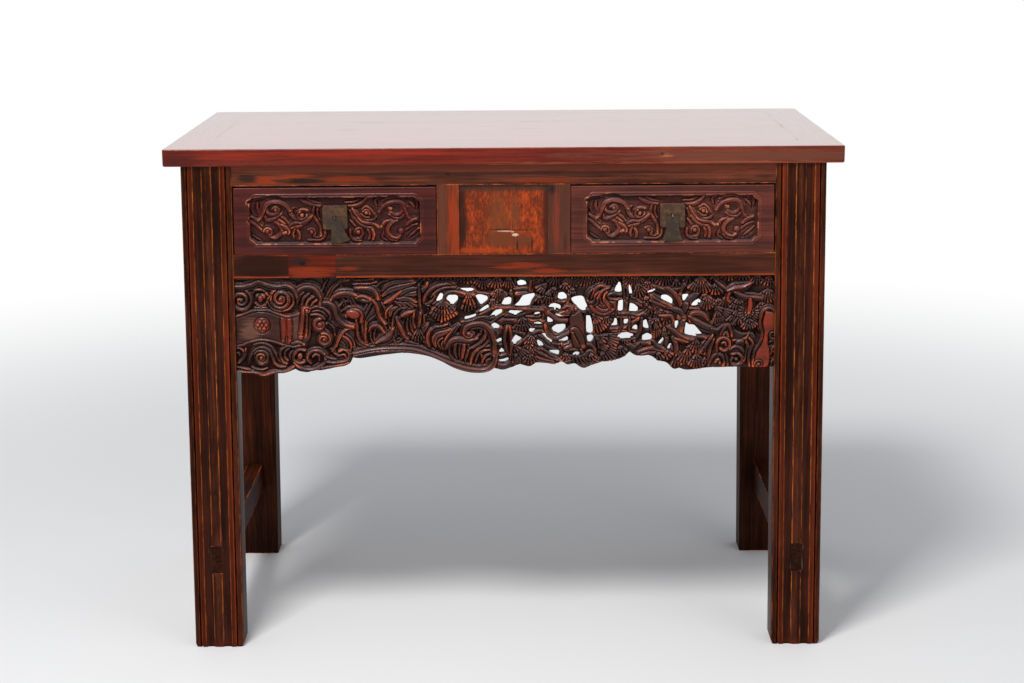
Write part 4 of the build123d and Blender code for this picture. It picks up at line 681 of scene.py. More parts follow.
# The lower edge, from the left leg to the right one, in runs that meet in notches:
# distance from the middle and drop below the rail.
LOWER_EDGE = [
    [-450, 160, -416, 163, -402, 168, -386, 164, -364, 162.5, -349, 157],
    [-349, 157, -340, 161, -328, 161.5, -316, 158],
    [-316, 158, -302, 158.5, -283, 154, -266, 151, -256, 145, -253, 137],
    [-253, 137, -236, 138, -200, 132.5, -168, 129.5, -138, 132, -112, 140.5, -84, 155, -60, 162.5,
     -38, 163.5, -26, 161, -18, 156],
    [-18, 156, -4, 160, 10, 156, 25, 151, 41, 154.5, 54, 147.5, 70, 148, 84, 150, 94, 145],
    [94, 145, 104, 152, 115.5, 148.5], [115.5, 148.5, 130, 158, 144, 153, 157, 147.5],
    [157, 147.5, 178, 145, 196, 140, 207, 130],
    [207, 130, 218, 136.5, 240, 136.5, 254, 145.5, 268, 149, 280, 160, 290, 158.5],
    [290, 158.5, 304, 162, 340, 158, 390, 156.5, 450, 156.5],
]


def carve_figures(r):
    """A monkey that reaches along a pole, a ripe peach in flames of leaf, a deer among rocks, and a red
    rock at the right end."""
    strips(r, [
        ([4, 561, 0, 545, 1, 528, 8, 511], 6, -1.2, 0.3), ([8, 560, 11, 545, 11, 528, 9, 512], 6, -0.8, 0.5),
    ], ends=(0.5, 0.3))
    block_in(r, [97, 519, 104, 510, 98, 500, 108, 496, 116, 501, 130, 490, 146, 496, 158, 502, 152, 514,
                 140, 522, 128, 512, 112, 511], -4, edge=3)
    for k in range(7):
        x = 112 + 5.5 * k
        strip(r, [x, 511 - k, x + 2 + k, 500, x + 6 + 1.5 * k, 492 + k], 4, -3 - 0.3 * (k % 2),
                 ends=(0.4, 0.3))
    pine(r, (101, 516), -95, 60, (8, 15), -2.4, red=0.5)
    pine(r, (140, 516), -60, 40, (10, 18), -2.4, red=0.6)
    # monkey: smooth back and chest, long muzzle, one arm along the pole
    strips(r, [
        ([108, 551, 97, 545.5, 86, 541, 77, 543.5, 70.5, 552, 67, 564], 7, -1.4, 0.3),
        ([106, 532, 97, 529, 94, 532], 5, -2, 0.3),
        ([104, 572, 90, 572, 80, 577.5, 71.5, 586.5], 6.5, -1.2, 0.6),
        ([112, 550, 113, 538, 111, 529, 99, 524], 7, -1.6, 0.6),
    ], ends=(0.7, 0.6))
    block_in(r, [110, 590, 121.6, 589, 128.5, 580, 132, 568, 133, 554, 133, 541, 135, 528, 128, 524,
                 119, 523.5, 113, 527, 109.5, 541, 107.5, 553, 107, 564, 105.5, 573, 108, 580], -2.2,
                edge=6.5, bow=0.1, red=0.5)
    strip(r, [112, 556, 117, 556, 122, 548, 127, 537, 130, 528], 10, -0.9, 0.4, (0.6, 0.6), "round")
    knob(r, (109.5, 589.5), (9.4, 8), -0.5, -15, 0.6, red=0.5)
    strips(r, [
        ([107, 586, 99, 584, 91.5, 582.5], 7, -0.8, 0.3, (0.9, 0.7), "flat"),
        ([106, 580.5, 99, 580, 92, 580.5], 2.6, -0.9, 0.9),
        ([97, 592, 104, 595.5, 113, 593], 3.6, 0.1, 0.8, (0.5, 0.4)),
    ], ends=(0.7, 0.5))
    knob(r, (104, 588), (2.3, 2), 0.2, red=0.9)
    knob(r, (117.5, 590.5), (2.6, 3.6), -0.2, red=0.4)
    strip(r, [-15, 594.5, 10, 593, 35, 591, 64, 589.5], 4.4, 0, 0.7, (0.8, 0.8))
    # peach and its leaves
    block_in(r, [140, 602, 144, 588, 156, 580, 172, 580, 184, 590, 184, 602, 176, 612, 160, 618, 146, 612],
                -3.2, edge=5, bow=0.05, red=0.5)
    strips(r, [
        ([141, 600, 146, 589, 158, 582.5, 172, 583.5, 183, 592], 7.5, -1.6, 0.8, (0.4, 0.3)),
        ([150, 598, 155, 590, 165, 587, 176, 592], 6, -1.4, 0.8, (0.4, 0.3)),
        ([136, 606, 139, 615, 146, 622, 156, 627], 5.4, -1.6, 0.1, (0.5, 0.3)),
        ([143, 608, 147, 616, 150, 623, 158, 629, 168, 627], 5.6, -1, 0.6, (0.4, 0.3)),
        ([137, 605, 139, 601, 145, 601, 149, 606, 150, 613, 156, 619], 5.6, -1, 0.3, (0.6, 0.4)),
        ([162, 598, 157, 604, 157, 613, 163, 621, 172, 626], 6.4, -0.6, 0.5),
        ([174, 590, 171, 598, 166, 604, 165, 612, 169, 619], 6.4, -0.4, 0.7),
        ([182, 592, 181, 600, 174, 606, 170, 612, 175, 617], 6.4, -0.6, 0.6),
        ([150, 596, 154, 602, 153, 610], 5, -1.4, 0.4),
        ([178, 617, 170, 613, 173, 607, 188, 606], 4.4, -1.6, 0.1, (0.4, 0.4)),
    ], ends=(0.3, 0.4))
    # leaves and bars on the right
    strips(r, [
        ([241, 613, 249, 603, 261, 597, 276, 594], 9, -1.2, 0.3, (0.3, 0.2), "hollow"),
        ([239, 604, 250, 599, 266, 593], 5, -1.6, 0.5, (0.3, 0.2)),
        ([254, 579, 264, 577, 274, 577, 280, 568], 6.5, -1.4, 0.6, (0.3, 0.3)),
        ([269, 560, 279, 552, 289, 544, 301, 538.5, 313, 538], 7.5, -0.8, 0.4, (0.3, 0.3)),
        ([280, 540, 292, 536, 304, 533], 5, -1.6, 0.7, (0.3, 0.3)),
        ([307, 568, 309, 579, 316, 582, 328, 579, 336, 570], 9, -1.2, 0.7, (0.6, 0.3)),
        ([304, 577, 316, 568, 330, 560, 344, 554, 356, 547], 9.5, -1),
        ([312, 545, 324, 543, 333, 540], 5, -1.6, 0.5, (0.4, 0.6)), ([347, 636, 356, 628, 366, 621], 6, -2),
        ([378, 618, 388, 612, 400, 608, 412, 608, 425, 607], 6.4, -0.6, 0.5, (0.3, 0.5)),
        ([372, 600, 368, 606, 370, 616], 4.6, -1.2, 0.9, (0.5, 0.5)),
        ([404.5, 606, 405, 594, 402.5, 582], 7, -0.6, 1, (0.6, 0.5)),
        ([366, 619, 378, 623.5, 392, 625.5, 405, 632], 8, -0.2, 0.7, (0.3, 0.3), "keel"),
        ([385, 574, 375, 560, 368, 552], 4, -2, 0.1),
    ], ends=(0.4, 0.4))
    # deer among rocks
    block_in(r, [346, 562, 366, 566, 378, 556, 392, 548, 410, 548, 418, 530, 410, 492, 345, 490, 342, 520,
                 348, 540], -5.5, edge=3)
    strips(r, [
        ([341, 556, 352, 553, 361, 560, 369, 563], 6, -1.6, 0.1, (0.4, 0.3)),
        ([357, 545, 362, 555, 369, 562, 374, 552, 376, 542], 5.4, -1.4, 0.6),
        ([360, 541, 366, 549, 370, 541], 4.6, -1.2, 0.2),
        ([352, 514, 351, 528, 355, 537, 363, 540, 371, 534, 371, 524, 364, 518, 357, 522], 5.4, -0.8, 0.6,
          (0.4, 0.6)), ([359, 530, 364, 532, 366, 527], 4.4, -1.2, 0.2, (0.4, 0.5)),
        ([372, 520, 382, 524, 392, 520, 398, 510], 6, -1.8, 0.1, (0.4, 0.3)),
        ([378, 536, 390, 534, 400, 539, 404, 548], 6.5, -2, 0.1, (0.4, 0.3)),
        ([376, 512, 386, 513, 393, 506, 392, 498, 383, 494, 375, 499, 378, 506], 5.2, -1, 0.3, (0.4, 0.6)),
        ([346, 505, 352, 512, 360, 509, 364, 500, 362, 492], 5.2, -1.6, 0.2, (0.4, 0.4)),
        ([349, 498, 354, 503, 357, 496], 4.4, -1.4, 0.1, (0.4, 0.4)),
        ([366, 512, 369, 502, 370, 492], 4.4, -2.2, 0.3, (0.4, 0.4)),
        ([398, 536, 402, 525, 400, 512, 396, 500], 6, -2.4, 0.1, (0.4, 0.3)),
        ([404, 540, 410, 530, 406, 518, 404, 505, 406, 492], 5.4, -2, 0.2, (0.4, 0.4)),
        ([344, 545, 338, 535, 330, 524, 324, 516], 5, -1.8, 0.2),
        ([346, 538, 342, 526, 338, 512, 338, 496], 6, -3, 0.3),
        ([352, 514, 344, 506, 338, 492], 5, -3.6, 0.5),
    ], ends=(0.5, 0.4))
    knob(r, (389, 533), (8, 4.5), -1.6, 10)
    knob(r, (383.5, 503), (3.6, 3.6), -1, red=0.3)
    # red rock with ribbed clouds behind it
    for k in range(5):
        z = 512 + 9 * k
        strip(r, [437, z, 442, z + 3.5, 450, z + 3], 4.4, -2.6, ends=(0.4, 0.7))
    block_in(r, [430, 585, 440, 584, 449, 576, 449, 556, 438, 548, 436, 532, 440, 515, 436, 491, 414, 491,
                 415, 512, 424, 528, 428, 548, 426, 566], -1.4, edge=4, bow=0.06, red=1)
    strips(r, [
        ([450, 579, 444, 587, 435, 590.5, 427, 587, 422.5, 577, 422, 563, 425.5, 548, 422, 532, 414, 518,
          411.5, 503, 412, 490], 4.6, -0.8, 0.25, (0.7, 0.7)),
        ([449, 549, 441, 549, 438, 543, 443, 538, 450, 541], 3.6, -0.8),
    ])
    curl(r, (421, 495), 7, 1.2, 180, 4, -0.6, sense=-1, red=0.4)
    strips(r, [
        ([449, 505, 443, 499, 441, 490], 4, -1.6), ([449, 527, 442, 521, 441, 512], 4, -2),
    ])


def carve_apron(r):
    """The whole apron, from its ground to its proudest parts."""
    for outline in OPENINGS:
        pierce(r, outline)
    carve_grass(r)
    for x, z, turn in np.random.default_rng(8).random((60, 3)):
        pine(r, (-70 + 510 * x, 508 + 140 * z), -90 + 60 * (turn - 0.5), 55, (20,), -5.6, squash=1.1)
    carve_pine_branches(r)
    for root, aim, spread, reach, *rest in PINES:
        pine(r, root, aim, spread, reach if isinstance(reach, tuple) else (0.5 * reach, 1.05 * reach), *rest)
    carve_figures(r)
    carve_cloud_scroll(r)
    carve_cloud_panel(r)
    for outline in OPENINGS:
        pierce(r, outline, edge=1)
        for sink in (1.8, 3.6):
            pierce(r, points_of(outline) - (0, sink), edge=0, spare=-4.2)
    edge = [(x, RAIL_BOTTOM - drop) for run in LOWER_EDGE for x, drop in smooth_line(run, 3)]
    trim(r, [*edge, (450, 649), (-450, 649)])


# -------- meshes
def mesh_object(name, points, faces, attributes=None, sharp=60):
    """A shaded object from points in metres, with its attributes stored at the points."""
    mesh = bpy.data.meshes.new(name)
    mesh.from_pydata(points, [], faces)
    mesh.shade_smooth()
    mesh.set_sharp_from_angle(angle=radians(sharp))
    for label, values in (attributes or {}).items():
        store(mesh, label, values)
    made = bpy.data.objects.new(name, mesh)
    bpy.context.scene.collection.objects.link(made)
    return made


def store(mesh, label, values):
    """Keeps a value for each point of a mesh."""
    mesh.attributes.new(label, "FLOAT", "POINT").data.foreach_set("value", np.asarray(values, np.float32))


def crossings(first_end, second_end, first_wood, second_wood):
    """Points where the edge of the wood crosses a grid line, at the height of the end that is wood."""
    fall = np.where(first_wood == second_wood, 1, first_wood - second_wood)
    share = np.clip(first_wood / fall, 0.15, 0.85)
    between = first_end + (second_end - first_end) * share[..., None]
    kept = np.where((first_wood > 0)[..., None], first_end, second_end)
    between[..., 1] = kept[..., 1] - 0.4
    between[..., 3:] = kept[..., 3:]
    return between


def carved_solid(name, relief, face, back, first=0, last=None):
    """A closed board whose front is the relief, between two of its columns. Face and back lie along Y."""
    columns = slice(first, last)
    wood, height = relief.wood[:, columns], relief.height[:, columns]
    masks = [mask[:, columns] for mask in (relief.worn, relief.red, relief.deep)]
    across, up = np.meshgrid(relief.x[columns], relief.z)
    grid = np.stack([across, height, up, *masks], -1)
    flat = crossings(grid[:, :-1], grid[:, 1:], wood[:, :-1], wood[:, 1:])
    tall = crossings(grid[:-1], grid[1:], wood[:-1], wood[1:])
    points = np.concatenate([part.reshape(-1, 6) for part in (grid, flat, tall)])

    # the four corners and four edges of each cell, as numbers of points
    rows, count = height.shape
    at_grid = np.arange(rows * count).reshape(rows, count)
    at_flat = rows * count + np.arange(rows * (count - 1)).reshape(rows, count - 1)
    at_tall = at_flat[-1, -1] + 1 + np.arange((rows - 1) * count).reshape(rows - 1, count)
    corners = [at_grid[:-1, :-1], at_grid[:-1, 1:], at_grid[1:, 1:], at_grid[1:, :-1]]
    edges = [at_flat[:-1], at_tall[:, 1:], at_flat[1:], at_tall[:, :-1]]
    solid = wood > 0
    case = sum(solid.ravel()[at].astype(int) << k for k, at in enumerate(corners))
    polygons = []
    for which in range(1, 16):
        here = case == which
        if not here.any():
            continue
        ring = []
        for k in range(4):
            if which >> k & 1:
                ring.append(corners[k][here])
            if (which >> k & 1) != (which >> (k + 1) % 4 & 1):
                ring.append(edges[k][here])
        polygons.append(np.stack(ring, -1))

    # the rim is made of the sides that only one polygon has
    starts = np.concatenate([p.ravel() for p in polygons])
    ends = np.concatenate([np.roll(p, -1, axis=1).ravel() for p in polygons])
    size = len(points)
    rim = ~np.isin(starts * size + ends, ends * size + starts)
    used = np.unique(starts)
    renumber = np.zeros(size, int)
    renumber[used] = np.arange(len(used))
    shown = points[used]
    front = np.stack([shown[:, 0] * MM, face - shown[:, 1] * MM, shown[:, 2] * MM], 1)
    faces = [tuple(f) for p in polygons for f in renumber[p].tolist()]
    rim_starts, rim_ends = renumber[starts[rim]], renumber[ends[rim]]
    rim_points = np.unique(rim_starts)
    behind = front[rim_points].copy()
    behind[:, 1] = back
    at_back = {point: len(used) + k for k, point in enumerate(rim_points.tolist())}
    sides = list(zip(rim_starts.tolist(), rim_ends.tolist()))
    faces += [(q, p, at_back[p], at_back[q]) for p, q in sides]
    faces += back_faces(rim_loops(sides), front, at_back)
    attributes = {label: np.concatenate([shown[:, 3 + k], np.zeros(len(behind))])
                  for k, label in enumerate(("worn", "red", "deep"))}
    return mesh_object(name, np.concatenate([front, behind]).tolist(), faces, attributes, sharp=70)


def rim_loops(sides):
    """Closed loops of points from the directed sides of a rim."""
    following = dict(sides)
    loops = []
    while following:
        first, point = following.popitem()
        loop = [first]
        while point != first:
            loop.append(point)
            point = following.pop(point)
        loops.append(loop)
    return loops


def back_faces(loops, front, at_back):
    """Triangles that close the flat back of a board between its rim and its openings."""
    order = [point for loop in loops for point in loop]
    outlines = [[Vector((front[point][0], front[point][2], 0)) for point in loop] for loop in loops]
    faces = []
    for corners in tessellate_polygon(outlines):
        a, b, c = (front[order[k]] for k in corners)
        turned = (b[0] - a[0]) * (c[2] - a[2]) - (c[0] - a[0]) * (b[2] - a[2])
        ring = [at_back[order[k]] for k in corners]
        faces.append(ring if turned < 0 else ring[::-1])
    return faces


def finished(piece, body, nodes, material):
    """Fits a piece to its body, lets it stand for its CAD nodes and gives it its material."""
    piece.data.materials.clear()
    piece.data.materials.append(material)
    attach(piece, body)
    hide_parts(*nodes)


# -------- carved drawer fronts
VINE = [
    # distance from the middle of the drawer, height above the floor; width, lift, redness, ends
    ([-141, 772, -130, 776, -118, 777], 4, -5), ([-136, 760, -133, 752, -128, 746], 4, -5),
    ([-126, 772, -127, 762, -124, 752], 5, -4.6, 0.1),
    ([-119, 778, -106, 779, -92, 778, -80, 770, -72, 760], 5, -3.4, 0, (0.3, 0.4)),
    ([-110, 776, -98, 777, -86, 773, -76, 763], 4, -3, 0, (0.3, 0.4)),
    ([-138, 749, -129, 742, -119, 733], 5.5, -2.6, 0.2, (0.4, 0.3)),
    ([-139, 741, -129, 733, -117, 722], 5.5, -2.2, 0.3, (0.5, 0.3)),
    ([-126, 747, -121, 740, -117, 735], 4, -3.6, 0, (0.4, 0.3)), ([-136, 718, -130, 712, -122, 709], 4, -5),
    ([-74, 760, -71, 749, -64, 742, -54, 739.5, -44, 742, -36, 749], 7, -2.4, 0.2, (0.7, 0.4)),
    ([-70, 752, -71, 758, -66, 763], 4, -3.4),
    ([-56, 776, -48, 771, -36, 767, -24, 766], 7, -1.4, 0.2, (0.4, 0.3)),
    ([-46, 778, -35, 772, -23, 770], 4.4, -2.6, 0.1, (0.4, 0.3)),
    ([-62, 755, -54, 758.5, -45, 758.5], 6, -1.8, 0.3),
    ([-46, 752, -48, 745, -57, 744, -61, 750, -57, 756], 4.6, -2.2, 0.5, (0.4, 0.6)),
    ([-34, 764, -36, 752, -31, 741, -25, 731, -24, 719], 5, -2.4, 0.2, (0.5, 0.5)),
    ([-28, 762, -29, 752, -25, 742], 4, -3.4, 0, (0.4, 0.3)),
    ([-74, 733, -66, 736.5, -56, 735.5, -46, 740, -37, 750], 7, -1.2, 0.3, (0.5, 0.3)),
    ([-72, 729, -62, 731, -54, 734], 4.6, -1, 0.9, (0.5, 0.3)),
    ([-66, 729, -70, 720, -68, 712], 4.4, -2, 0.5, (0.5, 0.6)),
    ([-62, 726, -59, 718, -60, 711], 4.4, -1.8, 0.6, (0.5, 0.6)),
    ([-44, 726, -38, 727, -34, 722, -35, 715, -29, 712, -23, 717], 4.6, -1.8, 0.4, (0.7, 0.3)),
    ([-46, 709, -34, 708.5, -24, 709, -17, 716, -17, 724], 4.6, -2.2, 0.2),
    ([-102, 746, -92, 742, -82, 736], 6, -1.2, 0.9, (0.3, 0.3)),
    ([-94, 750, -84, 745, -76, 737], 4.4, -2.4, 0.2, (0.3, 0.4)),
    ([-102, 742, -93, 735, -88, 727, -91, 719, -98, 714, -105, 714.5, -108, 719], 6.5, -1.4, 0.4,
      (0.4, 0.5)), ([-88, 735, -80, 728, -77, 722, -84, 721], 7, -0.8, 0.7, (0.4, 0.6)),
    ([-117, 724, -112, 728, -105, 725, -105, 718], 5, -0.8, 0.7, (0.6, 0.5)),
    ([-114, 748, -111, 741.5, -103, 743, -93, 749, -87, 754], 6, -1.6, 0.3, (0.4, 0.3)),
    ([-112, 767, -111, 756, -104, 751, -95, 753, -91, 759, -96, 763.5, -102, 761], 5, -1.2, 0.4, (0.4, 0.6)),
    ([-73, 758, -80, 767, -90, 772, -101, 772.5, -111, 768, -116, 758, -119, 749, -126, 742.5], 6.5, -0.4,
      0.5, (0.5, 0.3)),
    # right half
    ([22, 766, 34, 765, 44, 769, 52, 779], 7, -1.6, 0.3, (0.3, 0.3)),
    ([16, 771, 30, 771, 40, 776], 4.4, -3, 0.1, (0.3, 0.3)),
    ([24, 758, 27, 750, 29, 744], 4.6, -3, 0.2, (0.4, 0.3)),
    ([33, 758, 41, 746, 51, 741, 62, 741.5, 67, 748], 5, -2.2, 0.3, (0.3, 0.4)),
    ([28, 762, 34, 749, 42, 739, 52, 736, 62, 735, 71, 730], 6, -1.2, 0.5, (0.3, 0.4)),
    ([30, 747, 38, 736, 48, 730, 60, 729.5], 5.4, -1.8, 0.3, (0.3, 0.3)),
    ([24, 742, 32, 731, 40, 725], 4.4, -3.2, 0.1, (0.3, 0.3)),
    ([45, 760, 51, 763.5, 58, 758, 65, 750], 5, -1.2, 0.4, (0.5, 0.4)),
    ([46, 756, 52, 757, 57, 751], 6, -1.4, 0.2, (0.5, 0.4)), ([42, 752, 48, 746, 56, 746], 4, -3.2),
    ([52, 727, 56, 718, 54, 711], 4.4, -2, 0.4, (0.5, 0.6)),
    ([60, 727, 62, 718, 61, 710], 4.6, -1.4, 0.8, (0.5, 0.6)),
    ([32, 718, 34, 726, 41, 727, 44, 720, 40, 712, 30, 711], 4.6, -1.8, 0.3, (0.5, 0.5)),
    ([24, 726, 24, 716, 30, 708, 42, 708], 4.4, -2.6, 0.1, (0.5, 0.4)),
    ([68, 764, 66, 774, 74, 779], 4, -4.4),
    ([76, 773, 88, 777.5, 102, 777, 112, 770, 119, 762], 5, -2.8, 0.2, (0.4, 0.3)),
    ([118, 774, 124, 768, 129, 762], 4, -3.8), ([130, 776, 134, 768, 132, 758], 4, -4.8),
    ([88, 751, 96, 745.5, 105, 744, 112, 750], 6, -1.6, 0.2),
    ([107, 768, 110, 758, 104, 751, 96, 751, 90, 757, 88, 762], 5, -1.2, 0.5, (0.4, 0.6)),
    ([72, 755, 79, 764, 90, 769.5, 102, 771, 111, 767, 115, 756, 118, 748, 124, 741], 6.4, -0.4, 0.5),
    ([75, 730, 82, 738, 93, 741], 5.4, -1.2, 0.7), ([78, 722, 76, 712, 84, 707], 4, -4),
    ([101, 741, 91, 737, 85, 728, 86, 719, 92, 713, 100, 711.5, 106, 716], 6, -1, 0.6, (0.4, 0.5)),
    ([84, 715, 90, 708, 100, 707], 4, -3, 0.1), ([116, 733, 123, 739, 133, 744], 5.6, -1.2, 0.7),
    ([112, 722, 122, 730, 134, 735], 4.4, -3.2, 0.1), ([118, 712, 128, 720, 136, 728], 4.4, -4),
]
BUTTONS = [(-111, 724, 3.6), (-97, 759, 3.2), (-54, 750, 3.2), (-39, 723, 3.4), (37, 722, 3.6), (51, 754, 3),
           (91, 760, 3.2), (107, 723, 5), (75, 731, 2.4), (-81, 722, 3)]


def sunk_field(x0, z0, x1, z1):
    """Outline of the sunk field, with a small cusp cut at each corner."""
    wide, high = 9.0, 8.0
    return [
        (x0 + wide, z0), (x1 - wide, z0), (x1 - wide * 0.72, z0 + high * 0.45), (x1, z0 + high),
        (x1, z1 - high), (x1 - wide * 0.6, z1 - high * 0.7), (x1 - wide, z1),
        (x0 + wide, z1), (x0 + wide * 0.6, z1 - high * 0.7), (x0, z1 - high),
        (x0, z0 + high), (x0 + wide * 0.72, z0 + high * 0.45),
    ]


FRONT_THICKNESS = 0.022  # in metres; the rest is in millimetres
DRAWER_MIDDLE = 274.4
FIELD_HALF, FIELD_BOTTOM, FIELD_TOP = 138.5, 703.6, 779.4
FIELD_DEPTH, OUTER_BEAD, INNER_BEAD = -6, 5, 1  # the beads lie this far outside the sunk field
PULL_HEIGHT, PULL_PAD = 746.45, (19, 18)  # the flat place behind the pull, and its half sizes
LEG_INSIDE, LEG_SPREAD, LEG_HEIGHT = 439.6, 14, 832  # a leg's inner side at its top, and how far it leans


def dress_drawer(side, name, material, stretch):
    """A drawer front: a plain margin, two reeds round a sunk field, and a vine with scrolls at both ends."""
    low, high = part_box(f"drawer_{name}_front")
    left, right = 1000 * low.x, 1000 * high.x
    bottom, top = 1000 * low.z, 1000 * high.z
    face, back = high.y - FRONT_THICKNESS, high.y
    relief = Relief(left - 0.4, bottom - 0.4, right + 0.4, top + 0.4, cell=0.85, ground=0)
    middle = side * DRAWER_MIDDLE
    across, up = np.meshgrid(relief.x, relief.z)
    field = sunk_field(middle - FIELD_HALF, FIELD_BOTTOM, middle + FIELD_HALF, FIELD_TOP)
    signed = depth_inside(closed(field), across, up)
    beads = 1.6 - np.minimum(np.abs(signed + OUTER_BEAD), np.abs(signed + INNER_BEAD))
    beads = np.clip(beads, -0.9, 1)
    ground = FIELD_DEPTH + 2.6 * np.exp(-np.clip(signed, 0, None) / 1.2)
    relief.height = np.where(signed > 0.3, ground, np.where(signed > -6.4, beads, 0))
    relief.height += np.where((signed < -6.4) & (signed > -7.6), -0.5, 0)
    dents = np.random.default_rng(4).random(relief.height.shape)
    relief.height += np.where(signed > 1, 0.9 * (soften(dents, 1.1) - 0.5) * 3, 0)
    strips(relief, [([(middle + stretch * x, z) for x, z in points_of(points)], 1.1 * width, *rest)
                    for points, width, *rest in VINE], ends=(0.4, 0.4))
    for x, z, radius in BUTTONS:
        knob(relief, (middle + stretch * x, z), (radius, radius), -0.6, red=0.5)
    pad = (np.abs(across - middle) < PULL_PAD[0]) & (np.abs(up - PULL_HEIGHT) < PULL_PAD[1])
    relief.height = np.where(pad, 0, relief.height)
    outer_end = [LEG_INSIDE + LEG_SPREAD * (LEG_HEIGHT - z) / LEG_HEIGHT - 1.5 for z in (bottom, top)]
    near = min(abs(left), abs(right))
    trim(relief, [(side * near, bottom), (side * outer_end[0], bottom), (side * outer_end[1], top),
                  (side * near, top)], rounding=1.2)
    weather(relief, top=0.95)
    piece = carved_solid(f"carved_drawer_{name}", relief, face, back)
    finished(piece, f"drawer_{name}", [f"drawer_{name}_front"], material)


# -------- front legs
HALF_SECTION = [
    # distance from the middle line, depth behind the front, how soon it rubs bare, how red it is
    (0, 0, 0.05, 0), (2.5, 0.06, 0.03, 0), (4.8, 0.26, 0, 0), (6.6, 0.52, 0.02, 0), (7.4, 0.66, 0.4, 0.2),
    (7.8, 0.85, 1, 0.4), (8.1, 1.5, 0.5, 0.2), (8.6, 2.1, 0, 0), (10.5, 2.5, 0, 0), (13, 2.92, 0, 0.1),
    (15.5, 3, 0, 0.2), (18, 2.78, 0, 0.3), (20.2, 2.3, 0, 0.3), (21.4, 1.9, 0, 0.2), (21.8, 1.3, 0.4, 0.3),
    (22.1, 0.62, 1, 0.5), (22.5, 0.34, 0.45, 0.6), (23.1, 0.15, 0.02, 0.5), (26, 0, 0.02, 0.42),
    (28.4, 0.3, 0.02, 0.6), (29.3, 0.6, 0.1, 1), (29.9, 1.2, 0.22, 1), (30.3, 3.8, 0, 0.2),
    (31.2, 5, 0, 0), (32.1, 4.4, 0, 0), (32.6, 1.7, 0.1, 0.3), (33, 1.05, 0.2, 0.4), (33.8, 1, 0.02, 0.1),
    (37, 1.35, 0.02, 0), (39.2, 2.1, 0.03, 0.1), (40.4, 2.9, 0.3, 0.6), (41, 4, 0.3, 0.6),
    (41, 5.2, 0.02, 0.2), (41, 20, 0, 0), (41, 37, 0, 0), (41, 53, 0, 0), (40.7, 54.2, 0.3, 0),
    (39.8, 54.9, 0.1, 0), (39, 55, 0, 0),
]
LINES = ("across", "behind", "rub", "redness")  # what the section's points carry
FOOT, HEEL = 0.022, 0.009  # heights of the worn foot and of its eased arris, in metres
MOULDED = 0.0065  # deeper than any hollow of the front


def geometry(tree, kind, settings=(), **inputs):
    """Adds a geometry node, with its inputs by name and _ for a space, and gives its first output."""
    made = tree.nodes.new("GeometryNode" + kind)
    for name, value in settings:
        setattr(made, name, value)
    for name, value in inputs.items():
        feed(tree, made.inputs[name.replace("_", " ")], value)
    return made.outputs[0]


